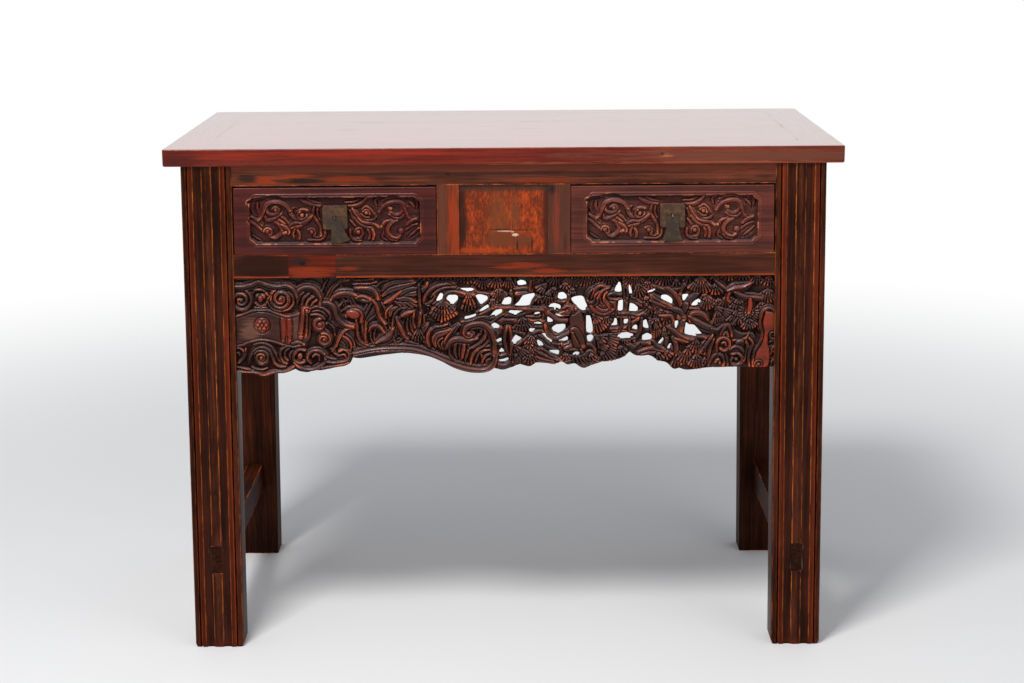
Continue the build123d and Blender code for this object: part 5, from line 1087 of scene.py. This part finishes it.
def moulded_leg_tree():
    """Sweeps a moulded section up a leg that leans outwards. Its lines waver and wear unevenly, its foot is
    eased, and the end of a through tenon shows in its front."""
    tree = bpy.data.node_groups.new("moulded leg", "GeometryNodeTree")
    tree.interface.new_socket("Leg", in_out="OUTPUT", socket_type="NodeSocketGeometry")
    tree.interface.new_socket("Section", in_out="INPUT", socket_type="NodeSocketGeometry")
    for label, kind, value in [
        ("Side", "Float", 1.0), ("Height", "Float", 0.832), ("Rows", "Int", 600),
        ("Top Middle", "Float", 0.481), ("Spread", "Float", 0.014), ("Front", "Float", -0.271),
        ("Sway", "Float", 0.00016), ("Tenon Bottom", "Float", 0.1334), ("Tenon Top", "Float", 0.1846),
        ("Tenon Half Width", "Float", 0.0083), ("Seed", "Float", 5.0), ("Finish", "Material", None),
    ]:
        socket = tree.interface.new_socket(label, in_out="INPUT", socket_type="NodeSocket" + kind)
        if value is not None:
            socket.default_value = value
    given = tree.nodes.new("NodeGroupInput").outputs

    section = geometry(tree, "MeshToCurve", Mesh=given["Section"])
    line = geometry(tree, "CurvePrimitiveLine", End=add(tree, "CombineXYZ", 0.0, 0.0, given["Height"]))
    line = geometry(tree, "ResampleCurve", Curve=line, Count=given["Rows"])
    leg = geometry(tree, "CurveToMesh", Curve=line, Profile_Curve=section, Fill_Caps=True)

    across, behind, rub, red = (
        geometry(tree, "InputNamedAttribute", settings=[("data_type", "FLOAT")], Name=name)
        for name in LINES)
    z = parted(tree, geometry(tree, "InputPosition"))[2]

    def wander(waves, shift):
        """Uneven values up the leg, different for each line of the section."""
        column = calc(tree, "MULTIPLY_ADD", across, 9000.0, calc(tree, "ADD", given["Seed"], shift))
        place = add(tree, "CombineXYZ", column, 0.0, times(tree, z, waves))
        return add(tree, "TexNoise", place, 1.0, 3.0, 0.6)

    # the foot, the front and the end of the tenon
    foot = ramp(tree, z, FOOT, 0.0)
    heel = calc(tree, "POWER", ramp(tree, z, HEEL, 0.0), 2.0)
    on_front = calc(tree, "LESS_THAN", behind, MOULDED)
    tenon = times(tree, calc(tree, "GREATER_THAN", z, given["Tenon Bottom"]),
                  calc(tree, "LESS_THAN", z, given["Tenon Top"]),
                  calc(tree, "LESS_THAN", calc(tree, "ABSOLUTE", across), given["Tenon Half Width"]),
                  on_front)
    # how deep each place is worn, eased or sunk
    whole = calc(tree, "SUBTRACT", 1.0, calc(tree, "MAXIMUM", foot, tenon))
    worn = times(tree, ramp(tree, wander(31.0, 0.0), 0.41, 0.6), rub, whole)
    sway = times(tree, calc(tree, "SUBTRACT", wander(17.0, 40.0), 0.5), given["Sway"],
                 calc(tree, "MULTIPLY_ADD", rub, 4.0, 1.5))
    sunk = calc(tree, "MULTIPLY_ADD", wander(120.0, 70.0), 0.0022, 0.0006)
    depth = calc(tree, "MULTIPLY_ADD", worn, 0.00035, behind)
    depth = calc(tree, "ADD", depth, calc(tree, "ABSOLUTE", sway))
    depth = calc(tree, "MULTIPLY_ADD", heel, 0.0022, depth)
    depth = calc(tree, "MAXIMUM", depth, times(tree, tenon, sunk))
    depth = add(tree, "Mix", on_front, behind, depth)
    # the lean of the leg, and its place on its side of the table
    below_top = calc(tree, "SUBTRACT", 1.0, calc(tree, "DIVIDE", z, given["Height"]))
    middle = calc(tree, "MULTIPLY_ADD", below_top, given["Spread"], given["Top Middle"])
    inward = calc(tree, "MULTIPLY_ADD", heel, -0.05, 1.0)
    swayed = times(tree, sway, calc(tree, "SIGN", across))
    aside = calc(tree, "MULTIPLY_ADD", across, inward, swayed)
    x = times(tree, calc(tree, "ADD", middle, aside), given["Side"])
    place = add(tree, "CombineXYZ", x, calc(tree, "ADD", given["Front"], depth), z)

    rust = times(tree, foot, wander(60.0, 90.0), 1.3, on_front)
    # painted shade and grime: the hollows of the moulding and the sunk end of the tenon are darkened
    deep = times(tree, calc(tree, "SUBTRACT", calc(tree, "MULTIPLY", depth, 260.0), 0.3), on_front)
    deep = calc(tree, "MAXIMUM", deep, times(tree, tenon, 0.75))
    for label, value in [("worn", worn), ("red", calc(tree, "MAXIMUM", red, rust)),
                         ("deep", add(tree, "Clamp", deep))]:
        leg = geometry(tree, "StoreNamedAttribute", settings=[("data_type", "FLOAT"), ("domain", "POINT")],
                       Geometry=leg, Name=label, Value=value)
    leg = geometry(tree, "SetPosition", Geometry=leg, Position=place)
    leg = geometry(tree, "RealizeInstances", Geometry=leg)
    leg = geometry(tree, "SetMaterial", Geometry=leg, Material=given["Finish"])
    tree.links.new(leg, tree.nodes.new("NodeGroupOutput").inputs["Leg"])
    return tree


def dress_front_leg(side, name, material, tree):
    """A moulded front leg: a reed in the middle, two hollows, red beads and a quirked strip."""
    half = np.array(HALF_SECTION) * (MM, MM, 1, 1)
    section = np.concatenate([half[:0:-1] * (-1, 1, 1, 1), half])
    count = len(section)
    ring = bpy.data.meshes.new(f"front_leg_{name}_section")
    ring.from_pydata([(across, behind, 0) for across, behind, _, _ in section.tolist()],
                     [(k, (k + 1) % count) for k in range(count)], [])
    for label, values in zip(LINES, section.T):
        store(ring, label, values)
    piece = bpy.data.objects.new(f"front_leg_{name}", ring)
    bpy.context.scene.collection.objects.link(piece)
    modifier = piece.modifiers.new("moulded leg", "NODES")
    modifier.node_group = tree
    sockets = {item.name: item.identifier for item in tree.interface.items_tree if item.in_out == "INPUT"}
    modifier[sockets["Side"]] = float(side)
    modifier[sockets["Seed"]] = 5.0 + side
    modifier[sockets["Finish"]] = material
    swept = bpy.data.meshes.new_from_object(piece.evaluated_get(bpy.context.evaluated_depsgraph_get()))
    piece.modifiers.clear()
    piece.data = swept
    for label in LINES:
        swept.attributes.remove(swept.attributes[label])
    shell = bmesh.new()
    shell.from_mesh(swept)
    bmesh.ops.recalc_face_normals(shell, faces=shell.faces)
    shell.to_mesh(swept)
    shell.free()
    swept.shade_smooth()
    swept.set_sharp_from_angle(angle=radians(48))
    finished(piece, "frame", [f"leg_front_{name}"], material)


# -------- materials
def shade(red, green, blue):
    """A colour given as it looks on a screen, 0 to 255."""
    parts = [c / 255 for c in (red, green, blue)]
    return (*(c / 12.92 if c <= 0.04045 else ((c + 0.055) / 1.055) ** 2.4 for c in parts), 1)


def feed(tree, socket, value):
    """Gives an input another node's output, or a value of its own."""
    if isinstance(value, bpy.types.NodeSocket):
        tree.links.new(value, socket)
    elif value is not None:
        socket.default_value = value


def add(tree, kind, *inputs, out=0, **settings):
    """Adds a shader node, fills its inputs in order with sockets or values, and gives one of its outputs."""
    made = tree.nodes.new("ShaderNode" + kind)
    for name, value in settings.items():
        setattr(made, name, value)
    for socket, value in zip([s for s in made.inputs if s.enabled], inputs):
        feed(tree, socket, value)
    return next(s for s in made.outputs[out:] if s.enabled)


def calc(tree, operation, *inputs):
    return add(tree, "Math", *inputs, operation=operation)


def times(tree, *inputs):
    product = inputs[0]
    for factor in inputs[1:]:
        product = calc(tree, "MULTIPLY", product, factor)
    return product


def vector(tree, operation, *inputs):
    return add(tree, "VectorMath", *inputs, operation=operation)


def parted(tree, joined):
    """The x, y and z of a vector."""
    split = tree.nodes.new("ShaderNodeSeparateXYZ")
    tree.links.new(joined, split.inputs[0])
    return split.outputs


def mixed(tree, amount, first, second):
    return add(tree, "Mix", amount, first, second, data_type="RGBA")


def ramp(tree, value, low, high, to_low=0.0, to_high=1.0):
    """Maps a value from one range to another with soft ends."""
    return add(tree, "MapRange", value, low, high, to_low, to_high, interpolation_type="SMOOTHSTEP")


def spotty(tree, place, waves, detail, rough):
    """Noise with its number of waves per metre along each axis."""
    return add(tree, "TexNoise", vector(tree, "MULTIPLY", place, waves), 1.0, detail, rough)


def new_group(name, inputs, outputs):
    """A shader node group, from the value of each named input and the kind of each named output."""
    tree = bpy.data.node_groups.new(name, "ShaderNodeTree")
    for label, value in inputs.items():
        kind = "Float" if isinstance(value, float) else "Vector" if len(value) == 3 else "Color"
        socket = tree.interface.new_socket(label, in_out="INPUT", socket_type="NodeSocket" + kind)
        socket.default_value = value
    for label, kind in outputs.items():
        tree.interface.new_socket(label, in_out="OUTPUT", socket_type="NodeSocket" + kind)
    return tree, tree.nodes.new("NodeGroupInput").outputs, tree.nodes.new("NodeGroupOutput").inputs


def group_node(tree, group, **inputs):
    """Places a node group, with its inputs by name, and gives its outputs."""
    made = tree.nodes.new("ShaderNodeGroup")
    made.node_tree = group
    for name, value in inputs.items():
        feed(tree, made.inputs[name], value)
    return made.outputs


ORIGIN, BLACK = (0, 0, 0), (0, 0, 0, 1)


def arris_group():
    """How near a place on a squared piece of wood is to an arris, unevenly: 1 at the arris, 0 inside."""
    tree, given, result = new_group(
        "rubbed arris", dict(Place=ORIGIN, Low=ORIGIN, High=(1, 1, 1), Width=0.002), dict(Rubbed="Float"))
    above = vector(tree, "SUBTRACT", given["Place"], given["Low"])
    below = vector(tree, "SUBTRACT", given["High"], given["Place"])
    x, y, z = parted(tree, vector(tree, "MINIMUM", above, below))
    small = calc(tree, "MINIMUM", x, y)
    large = calc(tree, "MAXIMUM", x, y)
    second = calc(tree, "MAXIMUM", small, calc(tree, "MINIMUM", large, z))
    uneven = spotty(tree, given["Place"], (30, 30, 30), 5.0, 0.7)
    reach = times(tree, ramp(tree, uneven, 0.42, 0.66, 0.0, 1.6), given["Width"])
    inwards = calc(tree, "DIVIDE", second, calc(tree, "ADD", reach, 0.00005))
    rubbed = calc(tree, "SUBTRACT", 1.0, inwards)
    tree.links.new(calc(tree, "MAXIMUM", rubbed, 0.0), result["Rubbed"])
    return tree


def lacquer_group():
    """Old red-brown lacquer on figured wood: long darker and lighter streaks, flecks of glowing red, dark
    dirt together with painted shade in the hollows, and bare orange wood where it has rubbed off."""
    tree, given, result = new_group(
        "old lacquer",
        dict(Place=ORIGIN, Grain=(6, 150, 150), Streak=(2, 18, 18), Rubbed=0.0, Reddened=0.0, Deep=0.0,
             Glow=0.3, Dull=0.0, Dark=BLACK, Warm=BLACK, Bare=BLACK, Red=BLACK),
        dict(Colour="Color", Roughness="Float", Height="Float"))
    fine = spotty(tree, given["Place"], given["Grain"], 4.0, 0.62)
    streak = spotty(tree, given["Place"], given["Streak"], 6.0, 0.6)
    cloud = spotty(tree, given["Place"], (7, 9, 9), 3.0, 0.55)
    tone = calc(tree, "ADD", times(tree, streak, 0.4), times(tree, cloud, 0.3))
    tone = calc(tree, "ADD", times(tree, fine, 0.4), tone)
    colour = mixed(tree, ramp(tree, tone, 0.47, 0.66), given["Dark"], given["Warm"])
    # flecks where the wood glows red through thin lacquer
    thin = ramp(tree, calc(tree, "ADD", streak, times(tree, cloud, 0.6)), 0.84, 1.0)
    fleck = times(tree, thin, ramp(tree, fine, 0.45, 0.58), given["Glow"])
    redness = times(tree, calc(tree, "POWER", given["Reddened"], 2.2), ramp(tree, streak, 0.3, 0.6, 0.4, 1.0))
    redness = calc(tree, "MINIMUM", calc(tree, "ADD", redness, fleck), 1.0)
    colour = mixed(tree, redness, colour, given["Red"])
    # painted shade and grime: the hollows are mixed towards near black
    colour = mixed(tree, times(tree, given["Deep"], 0.8), colour, shade(15, 5, 2))
    bare = times(tree, given["Rubbed"], ramp(tree, fine, 0.3, 0.6, 0.6, 1.2))
    bare = calc(tree, "MINIMUM", bare, 1.0)
    colour = mixed(tree, bare, colour, given["Bare"])
    # cracks along the grain
    line = calc(tree, "ABSOLUTE", calc(tree, "SUBTRACT", streak, 0.5))
    crack = times(tree, ramp(tree, line, 0.008, 0.0), ramp(tree, cloud, 0.52, 0.66))
    tree.links.new(mixed(tree, times(tree, crack, 0.65), colour, shade(18, 9, 7)), result["Colour"])
    rough = calc(tree, "ADD", ramp(tree, fine, 0.3, 0.7, 0.30, 0.44), times(tree, bare, 0.12))
    rough = calc(tree, "ADD", rough, given["Dull"])
    tree.links.new(calc(tree, "ADD", rough, times(tree, given["Deep"], 0.25)), result["Roughness"])
    height = calc(tree, "SUBTRACT", times(tree, fine, 0.6), times(tree, crack, 1.2))
    tree.links.new(calc(tree, "SUBTRACT", height, times(tree, bare, 0.25)), result["Height"])
    return tree


def blot_group():
    """A ragged oval mark: a stain, a knot, a nick, a rubbed place, or a painted highlight."""
    tree, given, result = new_group(
        "ragged oval",
        dict(Place=ORIGIN, Torn=0.5, Centre=ORIGIN, Reach=(1, 1, 1), Ragged=0.5, Strength=1.0),
        dict(Mask="Float"))
    offset = vector(tree, "SUBTRACT", given["Place"], given["Centre"])
    distance = vector(tree, "LENGTH", vector(tree, "DIVIDE", offset, given["Reach"]))
    torn = times(tree, calc(tree, "SUBTRACT", given["Torn"], 0.5), given["Ragged"], 7.0)
    edge = calc(tree, "ADD", distance, torn)
    tree.links.new(times(tree, ramp(tree, edge, 1.5, 0.5), given["Strength"]), result["Mask"])
    return tree


BLOT_DEPTH, BLOT_REACH = -0.26, 0.1  # where along Y a blot is centred, and how far it reaches
GRAIN = {  # fine grain and long streaks, in waves per metre, for wood that runs along each axis
    "x": ((9, 300, 300), (2.6, 46, 46)),
    "y": ((300, 9, 300), (46, 2.6, 46)),
    "z": ((300, 300, 9), (46, 46, 2.6)),
}
ARRIS = arris_group()
LACQUER = lacquer_group()
BLOT = blot_group()


def new_material(name, specular):
    """A material whose fixed gloss sits on the shader's own sockets."""
    material = bpy.data.materials.new(name)
    material.use_nodes = True
    principled = material.node_tree.nodes["Principled BSDF"]
    principled.inputs["Specular IOR Level"].default_value = specular
    return material, material.node_tree, principled.inputs


def place_on_object(tree):
    return add(tree, "TexCoord", out=3)


def lacquered(name, grain, dark, warm, bare=(205, 96, 40), red=(150, 50, 24), box=None, rub_width=0.0012,
              carved=False, glow=0.3, specular=0.1, dull=0.0, dust_and_sky_highlight=0.0, polished=False, sheen=0.0,
              waves=None, blots=()):
    """A worn lacquer finish. Rubbed places come from the arrises of a box, or from the piece's attributes.
    A polished piece has a glassy upper side, its colour there painted paler: partly its own tone, partly
    painted glare. What looks up is mixed paler too: partly wax and dust, partly a painted sky highlight.
    Sheen is the wax that is left on all but the hollows."""
    material, tree, surface = new_material(name, specular)
    place = place_on_object(tree)
    rubbed = reddened = deep = 0.0
    if box:
        rubbed = group_node(tree, ARRIS, Place=place, Low=box[0], High=box[1], Width=rub_width)["Rubbed"]
    if carved:
        rubbed, reddened, deep = (
            add(tree, "Attribute", out=2, attribute_name=mask) for mask in ("worn", "red", "deep"))
    fine, broad = waves or GRAIN[grain]
    skin = group_node(
        tree, LACQUER, Place=place, Grain=fine, Streak=broad, Rubbed=rubbed, Reddened=reddened, Deep=deep,
        Glow=glow, Dull=dull, Dark=shade(*dark), Warm=shade(*warm), Bare=shade(*bare), Red=shade(*red))
    colour = skin["Colour"]
    torn = spotty(tree, place, [w + 8 for w in fine], 6.0, 0.75) if blots else None
    for x, z, wide, high, ragged, strength, tint in blots:
        mask = group_node(
            tree, BLOT, Place=place, Torn=torn, Centre=(x * MM, BLOT_DEPTH, z * MM), Ragged=ragged,
            Reach=(wide * MM, BLOT_REACH, high * MM), Strength=strength)["Mask"]
        colour = mixed(tree, mask, colour, shade(*tint))
    upward = parted(tree, add(tree, "NewGeometry", out=1))[2]
    # painted highlight: what looks up is mixed towards a pale grey-pink, partly dust and wax, partly a
    # painted sky highlight
    if dust_and_sky_highlight:
        upper = times(tree, ramp(tree, upward, 0.1, 0.75), dust_and_sky_highlight)
        colour = mixed(tree, upper, colour, shade(138, 110, 108))
    if sheen:
        tree.links.new(times(tree, ramp(tree, deep, 0.75, 0.1), sheen), surface["Coat Weight"])
        surface["Coat Roughness"].default_value = 0.24
    if polished:
        # painted glare: the upward side is mixed paler, partly its own tone and partly painted glare; the
        # coat over it is real gloss
        whole = calc(tree, "SUBTRACT", 1.0, times(tree, rubbed, 0.9))
        upper = times(tree, ramp(tree, upward, 0.4, 0.95), whole)
        colour = mixed(tree, times(tree, upper, 0.55), colour, shade(168, 92, 66))
        tree.links.new(upper, surface["Coat Weight"])
        surface["Coat Roughness"].default_value = 0.14
        surface["Coat IOR"].default_value = 1.55
        surface["Sheen Weight"].default_value = 0.42
        surface["Sheen Roughness"].default_value = 0.35
    tree.links.new(colour, surface["Base Color"])
    tree.links.new(skin["Roughness"], surface["Roughness"])
    tree.links.new(add(tree, "Bump", 0.6, 0.0003, None, skin["Height"]), surface["Normal"])
    return material


def aged_brass(name, dark, light, rubbed):
    """Brass gone brown, a little brighter where fingers rub it."""
    material, tree, surface = new_material(name, 0.5)
    place = place_on_object(tree)
    cloud = spotty(tree, place, (120, 120, 120), 5.0, 0.65)
    fine = spotty(tree, place, (900, 900, 900), 3.0, 0.6)
    colour = mixed(tree, ramp(tree, cloud, 0.42, 0.60), shade(*dark), shade(*light))
    colour = mixed(tree, times(tree, ramp(tree, cloud, 0.56, 0.72), 0.6), colour, shade(*rubbed))
    tree.links.new(colour, surface["Base Color"])
    surface["Metallic"].default_value = 0.3
    tree.links.new(ramp(tree, fine, 0.3, 0.7, 0.42, 0.6), surface["Roughness"])
    height = calc(tree, "ADD", cloud, times(tree, fine, 0.3))
    tree.links.new(add(tree, "Bump", 0.5, 0.0002, None, height), surface["Normal"])
    return material


# -------- room, light and camera
def seen_directly(tree):
    """1 for what the camera sees, straight, in a gloss or through glass, and 0 for light on other things."""
    rays = tree.nodes.new("ShaderNodeLightPath").outputs
    return calc(tree, "MAXIMUM", rays["Is Camera Ray"],
                calc(tree, "MAXIMUM", rays["Is Glossy Ray"], rays["Is Transmission Ray"]))


def make_room():
    """A pale floor that fades into a white surround, and soft light from above and from the front."""
    floor = mesh_object("floor", [(-14, -14, 0), (14, -14, 0), (14, 14, 0), (-14, 14, 0)], [(0, 1, 2, 3)])
    paint, tree, surface = new_material("floor paint", 0.1)
    surface["Base Color"].default_value = (0.84, 0.82, 0.79, 1)
    surface["Roughness"].default_value = 0.9
    distance = vector(tree, "LENGTH", place_on_object(tree))
    fade = times(tree, ramp(tree, distance, 0.9, 3.2), seen_directly(tree))
    glow = add(tree, "Emission", (1, 1, 1, 1), 1.0)
    blend = add(tree, "MixShader", fade, tree.nodes["Principled BSDF"].outputs[0], glow)
    tree.links.new(blend, tree.nodes["Material Output"].inputs["Surface"])
    floor.data.materials.append(paint)

    world = bpy.data.worlds.new("studio")
    bpy.context.scene.world = world
    world.use_nodes = True
    tree = world.node_tree
    sky = mixed(tree, seen_directly(tree), (0.44, 0.47, 0.52, 1), (1, 1, 1, 1))
    tree.links.new(sky, tree.nodes["Background"].inputs["Color"])

    # where it stands and aims, its size in metres, its power in watts, its colour
    for name, place, aim, size, power, tint in [
        ("key light", (-0.8, -1.8, 3.2), (0, 0, 0.6), 0.8, 88, (0.97, 0.98, 1.0)),
        ("fill light", (2.4, -2.6, 1.9), (0, 0, 0.5), 2.0, 15, (1.0, 0.97, 0.94)),
    ]:
        lamp = bpy.data.lights.new(name, "AREA")
        lamp.size = size
        lamp.energy = power
        lamp.color = tint
        held = bpy.data.objects.new(name, lamp)
        held.location = place
        held.visible_glossy = name == "key light"
        held.rotation_euler = (Vector(aim) - Vector(place)).to_track_quat("-Z", "Y").to_euler()
        bpy.context.scene.collection.objects.link(held)


def make_camera():
    """The camera stands in front, a little right of the middle, and looks slightly down."""
    lens = bpy.data.cameras.new("camera")
    lens.sensor_width = 36
    lens.lens = 63.64
    lens.clip_end = 50
    camera = bpy.data.objects.new("camera", lens)
    turn, pitch, roll = 0.00501, 0.23601, -0.00718
    place = (0.02663, -3.17551, 1.23709)
    facing = Matrix.Rotation(turn, 4, "Z") @ Matrix.Rotation(pi / 2 - pitch, 4, "X")
    facing = facing @ Matrix.Rotation(roll, 4, "Z")
    camera.matrix_world = Matrix.Translation(place) @ facing
    bpy.context.scene.collection.objects.link(camera)
    bpy.context.scene.camera = camera
    bpy.context.scene.view_settings.view_transform = "Standard"


# -------- the table put together
FINISHES = {
    "top_frame": dict(dark=(94, 28, 19), warm=(124, 44, 29), bare=(96, 34, 22), red=(160, 44, 22),
                      polished=True, glow=0.6, rub_width=0.002),
    "top_panel": dict(dark=(118, 52, 34), warm=(150, 76, 52), bare=(84, 28, 18), red=(168, 70, 40),
                      polished=True, rub_width=0.002),
    "leg_wood": dict(dark=(32, 12, 5), warm=(64, 31, 18), glow=0.15, specular=0.04, dull=0.1),
    "rail_wood": dict(dark=(56, 27, 19), warm=(101, 54, 38), glow=0.45, specular=0.06, rub_width=0.0012),
    "post_wood": dict(dark=(76, 38, 25), warm=(106, 52, 34), red=(160, 52, 20), glow=0.7, rub_width=0.0008),
    "centre_panel": dict(dark=(98, 40, 22), warm=(172, 66, 24), red=(196, 74, 24), glow=0.6,
                         rub_width=0.0006, waves=((420, 420, 130), (105, 105, 48))),
    "patch_wood": dict(dark=(62, 18, 8), warm=(103, 32, 14), bare=(70, 24, 14), red=(160, 50, 20),
                       glow=0.8),
    "case_wood": dict(dark=(44, 24, 17), warm=(78, 44, 31), bare=(120, 76, 50)),
    "drawer_front": dict(dark=(62, 22, 18), warm=(98, 40, 34)),
    "carving": dict(dark=(40, 18, 15), warm=(84, 36, 26)),
    "inner_wood": dict(dark=(120, 84, 56), warm=(164, 122, 84), bare=(190, 150, 106), red=(150, 104, 70)),
}
SOOT, RUST, BROWN = (36, 27, 24), (142, 50, 24), (112, 60, 42)
BLOTS = {
    # x, z, reach in x, reach in z, in millimetres; raggedness, strength, colour
    "top_front_rail": [
        (-522, 844, 42, 13, 0.5, 0.6, (60, 26, 20)), (-340, 846, 190, 16, 0.4, 0.4, (84, 28, 18)),
        (400, 845, 240, 12, 0.5, 0.6, (112, 70, 52)), (350, 833, 280, 2.6, 0.7, 0.6, (158, 84, 50)),
        (262, 846, 8, 3, 0.9, 0.9, (160, 92, 56)), (256, 848, 4, 2, 0.9, 0.9, SOOT),
        (-250, 852, 200, 3, 0.8, 0.4, (166, 40, 22)),
    ],
    "front_upper_rail": [
        (0, 827, 700, 6, 0.25, 0.75, (126, 62, 44)), (-40, 817, 330, 2.4, 0.4, 0.7, (56, 32, 26)),
        (-384, 808, 18, 6, 0.7, 0.9, RUST), (-340, 814, 24, 4, 0.7, 0.7, RUST),
        (-250, 809, 40, 4, 0.8, 0.6, RUST), (-413, 811, 12, 6, 0.8, 0.85, SOOT),
        (-325, 807, 24, 4, 0.9, 0.9, SOOT), (-90, 817, 3.6, 2.6, 0.3, 0.9, SOOT),
        (60, 806, 60, 3, 0.8, 0.5, RUST), (300, 810, 90, 4, 0.8, 0.4, BROWN),
    ],
    "front_lower_rail": [
        (-400, 666, 54, 30, 0.04, 0.9, (36, 14, 8)), (40, 668, 700, 13, 0.3, 0.6, (52, 25, 17)),
        (-254, 662, 14, 3, 0.7, 0.6, RUST), (25, 664, 30, 4.5, 0.8, 0.7, RUST),
        (70, 656, 20, 3.5, 0.8, 0.7, RUST), (0, 648, 700, 2.0, 0.4, 0.7, (160, 66, 32)),
    ],
    "rail_patch": [
        (-318, 656, 34, 9, 0.8, 0.55, (150, 54, 25)), (-334, 675, 14, 5.5, 0.6, 0.9, SOOT),
        (-330, 671, 5, 3, 0.3, 0.9, (20, 12, 9)),
    ],
    "post_left": [
        (-80, 735, 7, 80, 0.7, 0.6, (164, 58, 22)), (-88, 730, 5, 70, 0.9, 0.5, (146, 50, 22)),
        (-100, 742, 7, 90, 0.4, 0.6, (100, 56, 38)),
    ],
    "post_right": [
        (90, 740, 30, 90, 0.2, 0.8, (78, 45, 34)), (86, 745, 4, 50, 0.9, 0.6, (136, 52, 30)),
        (79, 792, 5, 8, 0.6, 0.9, SOOT), (100, 700, 4, 14, 0.6, 0.5, SOOT),
    ],
    "centre_board_left": [
        (-70, 742, 9, 80, 0.1, 0.9, (44, 22, 14)), (0, 795, 120, 7, 0.2, 0.85, (62, 42, 34)),
        (-8, 742, 17, 42, 0.3, 0.75, (110, 58, 32)), (4, 708, 34, 12, 0.12, 0.92, (108, 54, 29)),
        (-4, 725, 20, 1.2, 0.4, 0.7, (56, 24, 16)), (2, 722, 13, 1.0, 0.3, 0.9, (206, 160, 134)),
        (-50, 690, 60, 5, 0.6, 0.6, (176, 66, 24)),
    ],
    "centre_board_right": [
        (70, 742, 7, 80, 0.1, 0.85, (52, 26, 17)), (40, 795, 90, 7, 0.2, 0.85, (62, 42, 34)),
        (18, 752, 8, 26, 0.4, 0.75, (110, 58, 32)), (22, 708, 24, 12, 0.12, 0.92, (104, 52, 28)),
        (30, 724, 16, 1.4, 0.4, 0.7, (66, 34, 22)), (19, 716, 4.5, 2.2, 0.4, 0.95, (226, 184, 150)),
        (13, 721, 4, 1.2, 0.3, 0.9, (206, 160, 134)), (46, 700, 1.6, 10, 0.3, 0.9, SOOT),
        (22, 698, 1.4, 8, 0.3, 0.9, SOOT),
    ],
}


def dress_nodes():
    """Gives each squared piece of wood its worn lacquer, with the grain along its length."""
    slot_of = {part["node"]: part["material_slot"] for part in frame["record"]["subparts"]}
    for node, piece in frame["nodes"].items():
        low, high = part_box(node)
        size = high - low
        grain = "xyz"[max(range(3), key=lambda k: size[k])]
        slot = slot_of[node]
        material = BRASS[node.rsplit("_", 1)[0]] if slot == "old_brass" else lacquered(
            f"{node} finish", grain, box=(low, high), blots=BLOTS.get(node, ()), **FINISHES[slot])
        piece.data.materials.clear()
        piece.data.materials.append(material)


def dress_apron(material):
    """The carved apron, its mesh in four lengths."""
    relief = Relief(left=-446.4, bottom=480, right=446.4, top=RAIL_BOTTOM, cell=0.75, ground=-8)
    carve_apron(relief)
    weather(relief)
    low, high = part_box("apron")
    cuts = [0, *np.searchsorted(relief.x, (-225, 0, 225)), len(relief.x)]
    for label, first, last in zip(("far_left", "left", "right", "far_right"), cuts, cuts[1:]):
        piece = carved_solid(f"carved_apron_{label}", relief, low.y, high.y, max(first - 1, 0), last)
        finished(piece, "frame", ["apron"], material)


BRASS = {
    "pull_plate": aged_brass("browned plate", (58, 36, 17), (86, 54, 27), (110, 72, 38)),
    "pull_pendant": aged_brass("browned pendant", (42, 28, 15), (62, 43, 23), (84, 60, 34)),
    "split_pin": aged_brass("rubbed pin", (70, 60, 50), (120, 108, 92), (176, 166, 150)),
}
# a red mark on the handscroll, and two pale grey marks that are painted highlights on its bowed folds
SCROLL_MARKS_AND_HIGHLIGHTS = [
    (-360, 563, 8, 22, 0.6, 0.55, (132, 38, 16)), (-420, 556, 14, 18, 0.5, 0.35, (150, 100, 76)),
    (-344, 560, 6, 26, 0.5, 0.3, (120, 84, 68)),
]
TENON_BLOTS = [(side * 492.3, z, wide, high, 1.3, 0.6, (98, 80, 70)) for side in (-1, 1)
               for z, wide, high in ((175, 7, 5), (160, 6, 9), (143, 7, 5))]
# Lacquers are named, then given their grain, their dark, warm, bare and red colours and their own marks.
carving = lacquered("rubbed carving", "x", (31, 11, 5), (58, 28, 20), (202, 94, 44), (136, 44, 18),
                    carved=True, specular=0.05, dull=-0.06, glow=0.1, dust_and_sky_highlight=0.34, sheen=0.42,
                    blots=SCROLL_MARKS_AND_HIGHLIGHTS)
drawer_finish = {
    "left": lacquered("left drawer lacquer", "x", (58, 20, 16), (94, 33, 27), (192, 108, 66), (120, 40, 24),
                      carved=True, specular=0.16, dull=-0.06, glow=0.1, dust_and_sky_highlight=0.17),
    "right": lacquered("right drawer lacquer", "x", (76, 34, 26), (118, 56, 43), (192, 114, 74),
                       (124, 50, 32), carved=True, specular=0.16, dull=-0.06, glow=0.1, dust_and_sky_highlight=0.25),
}
leg_finish = lacquered("moulded leg lacquer", "z", (35, 12, 5), (74, 35, 23), (230, 120, 40), (134, 44, 16),
                       carved=True, specular=0.06, glow=0.15, blots=TENON_BLOTS)
dress_nodes()
dress_apron(carving)
leg_tree = moulded_leg_tree()
for side, name in ((-1, "left"), (1, "right")):
    dress_front_leg(side, name, leg_finish, leg_tree)
for side, name, stretch in ((-1, "left", 1.0), (1, "right", 0.985)):
    dress_drawer(side, name, drawer_finish[name], stretch)
make_room()
make_camera()
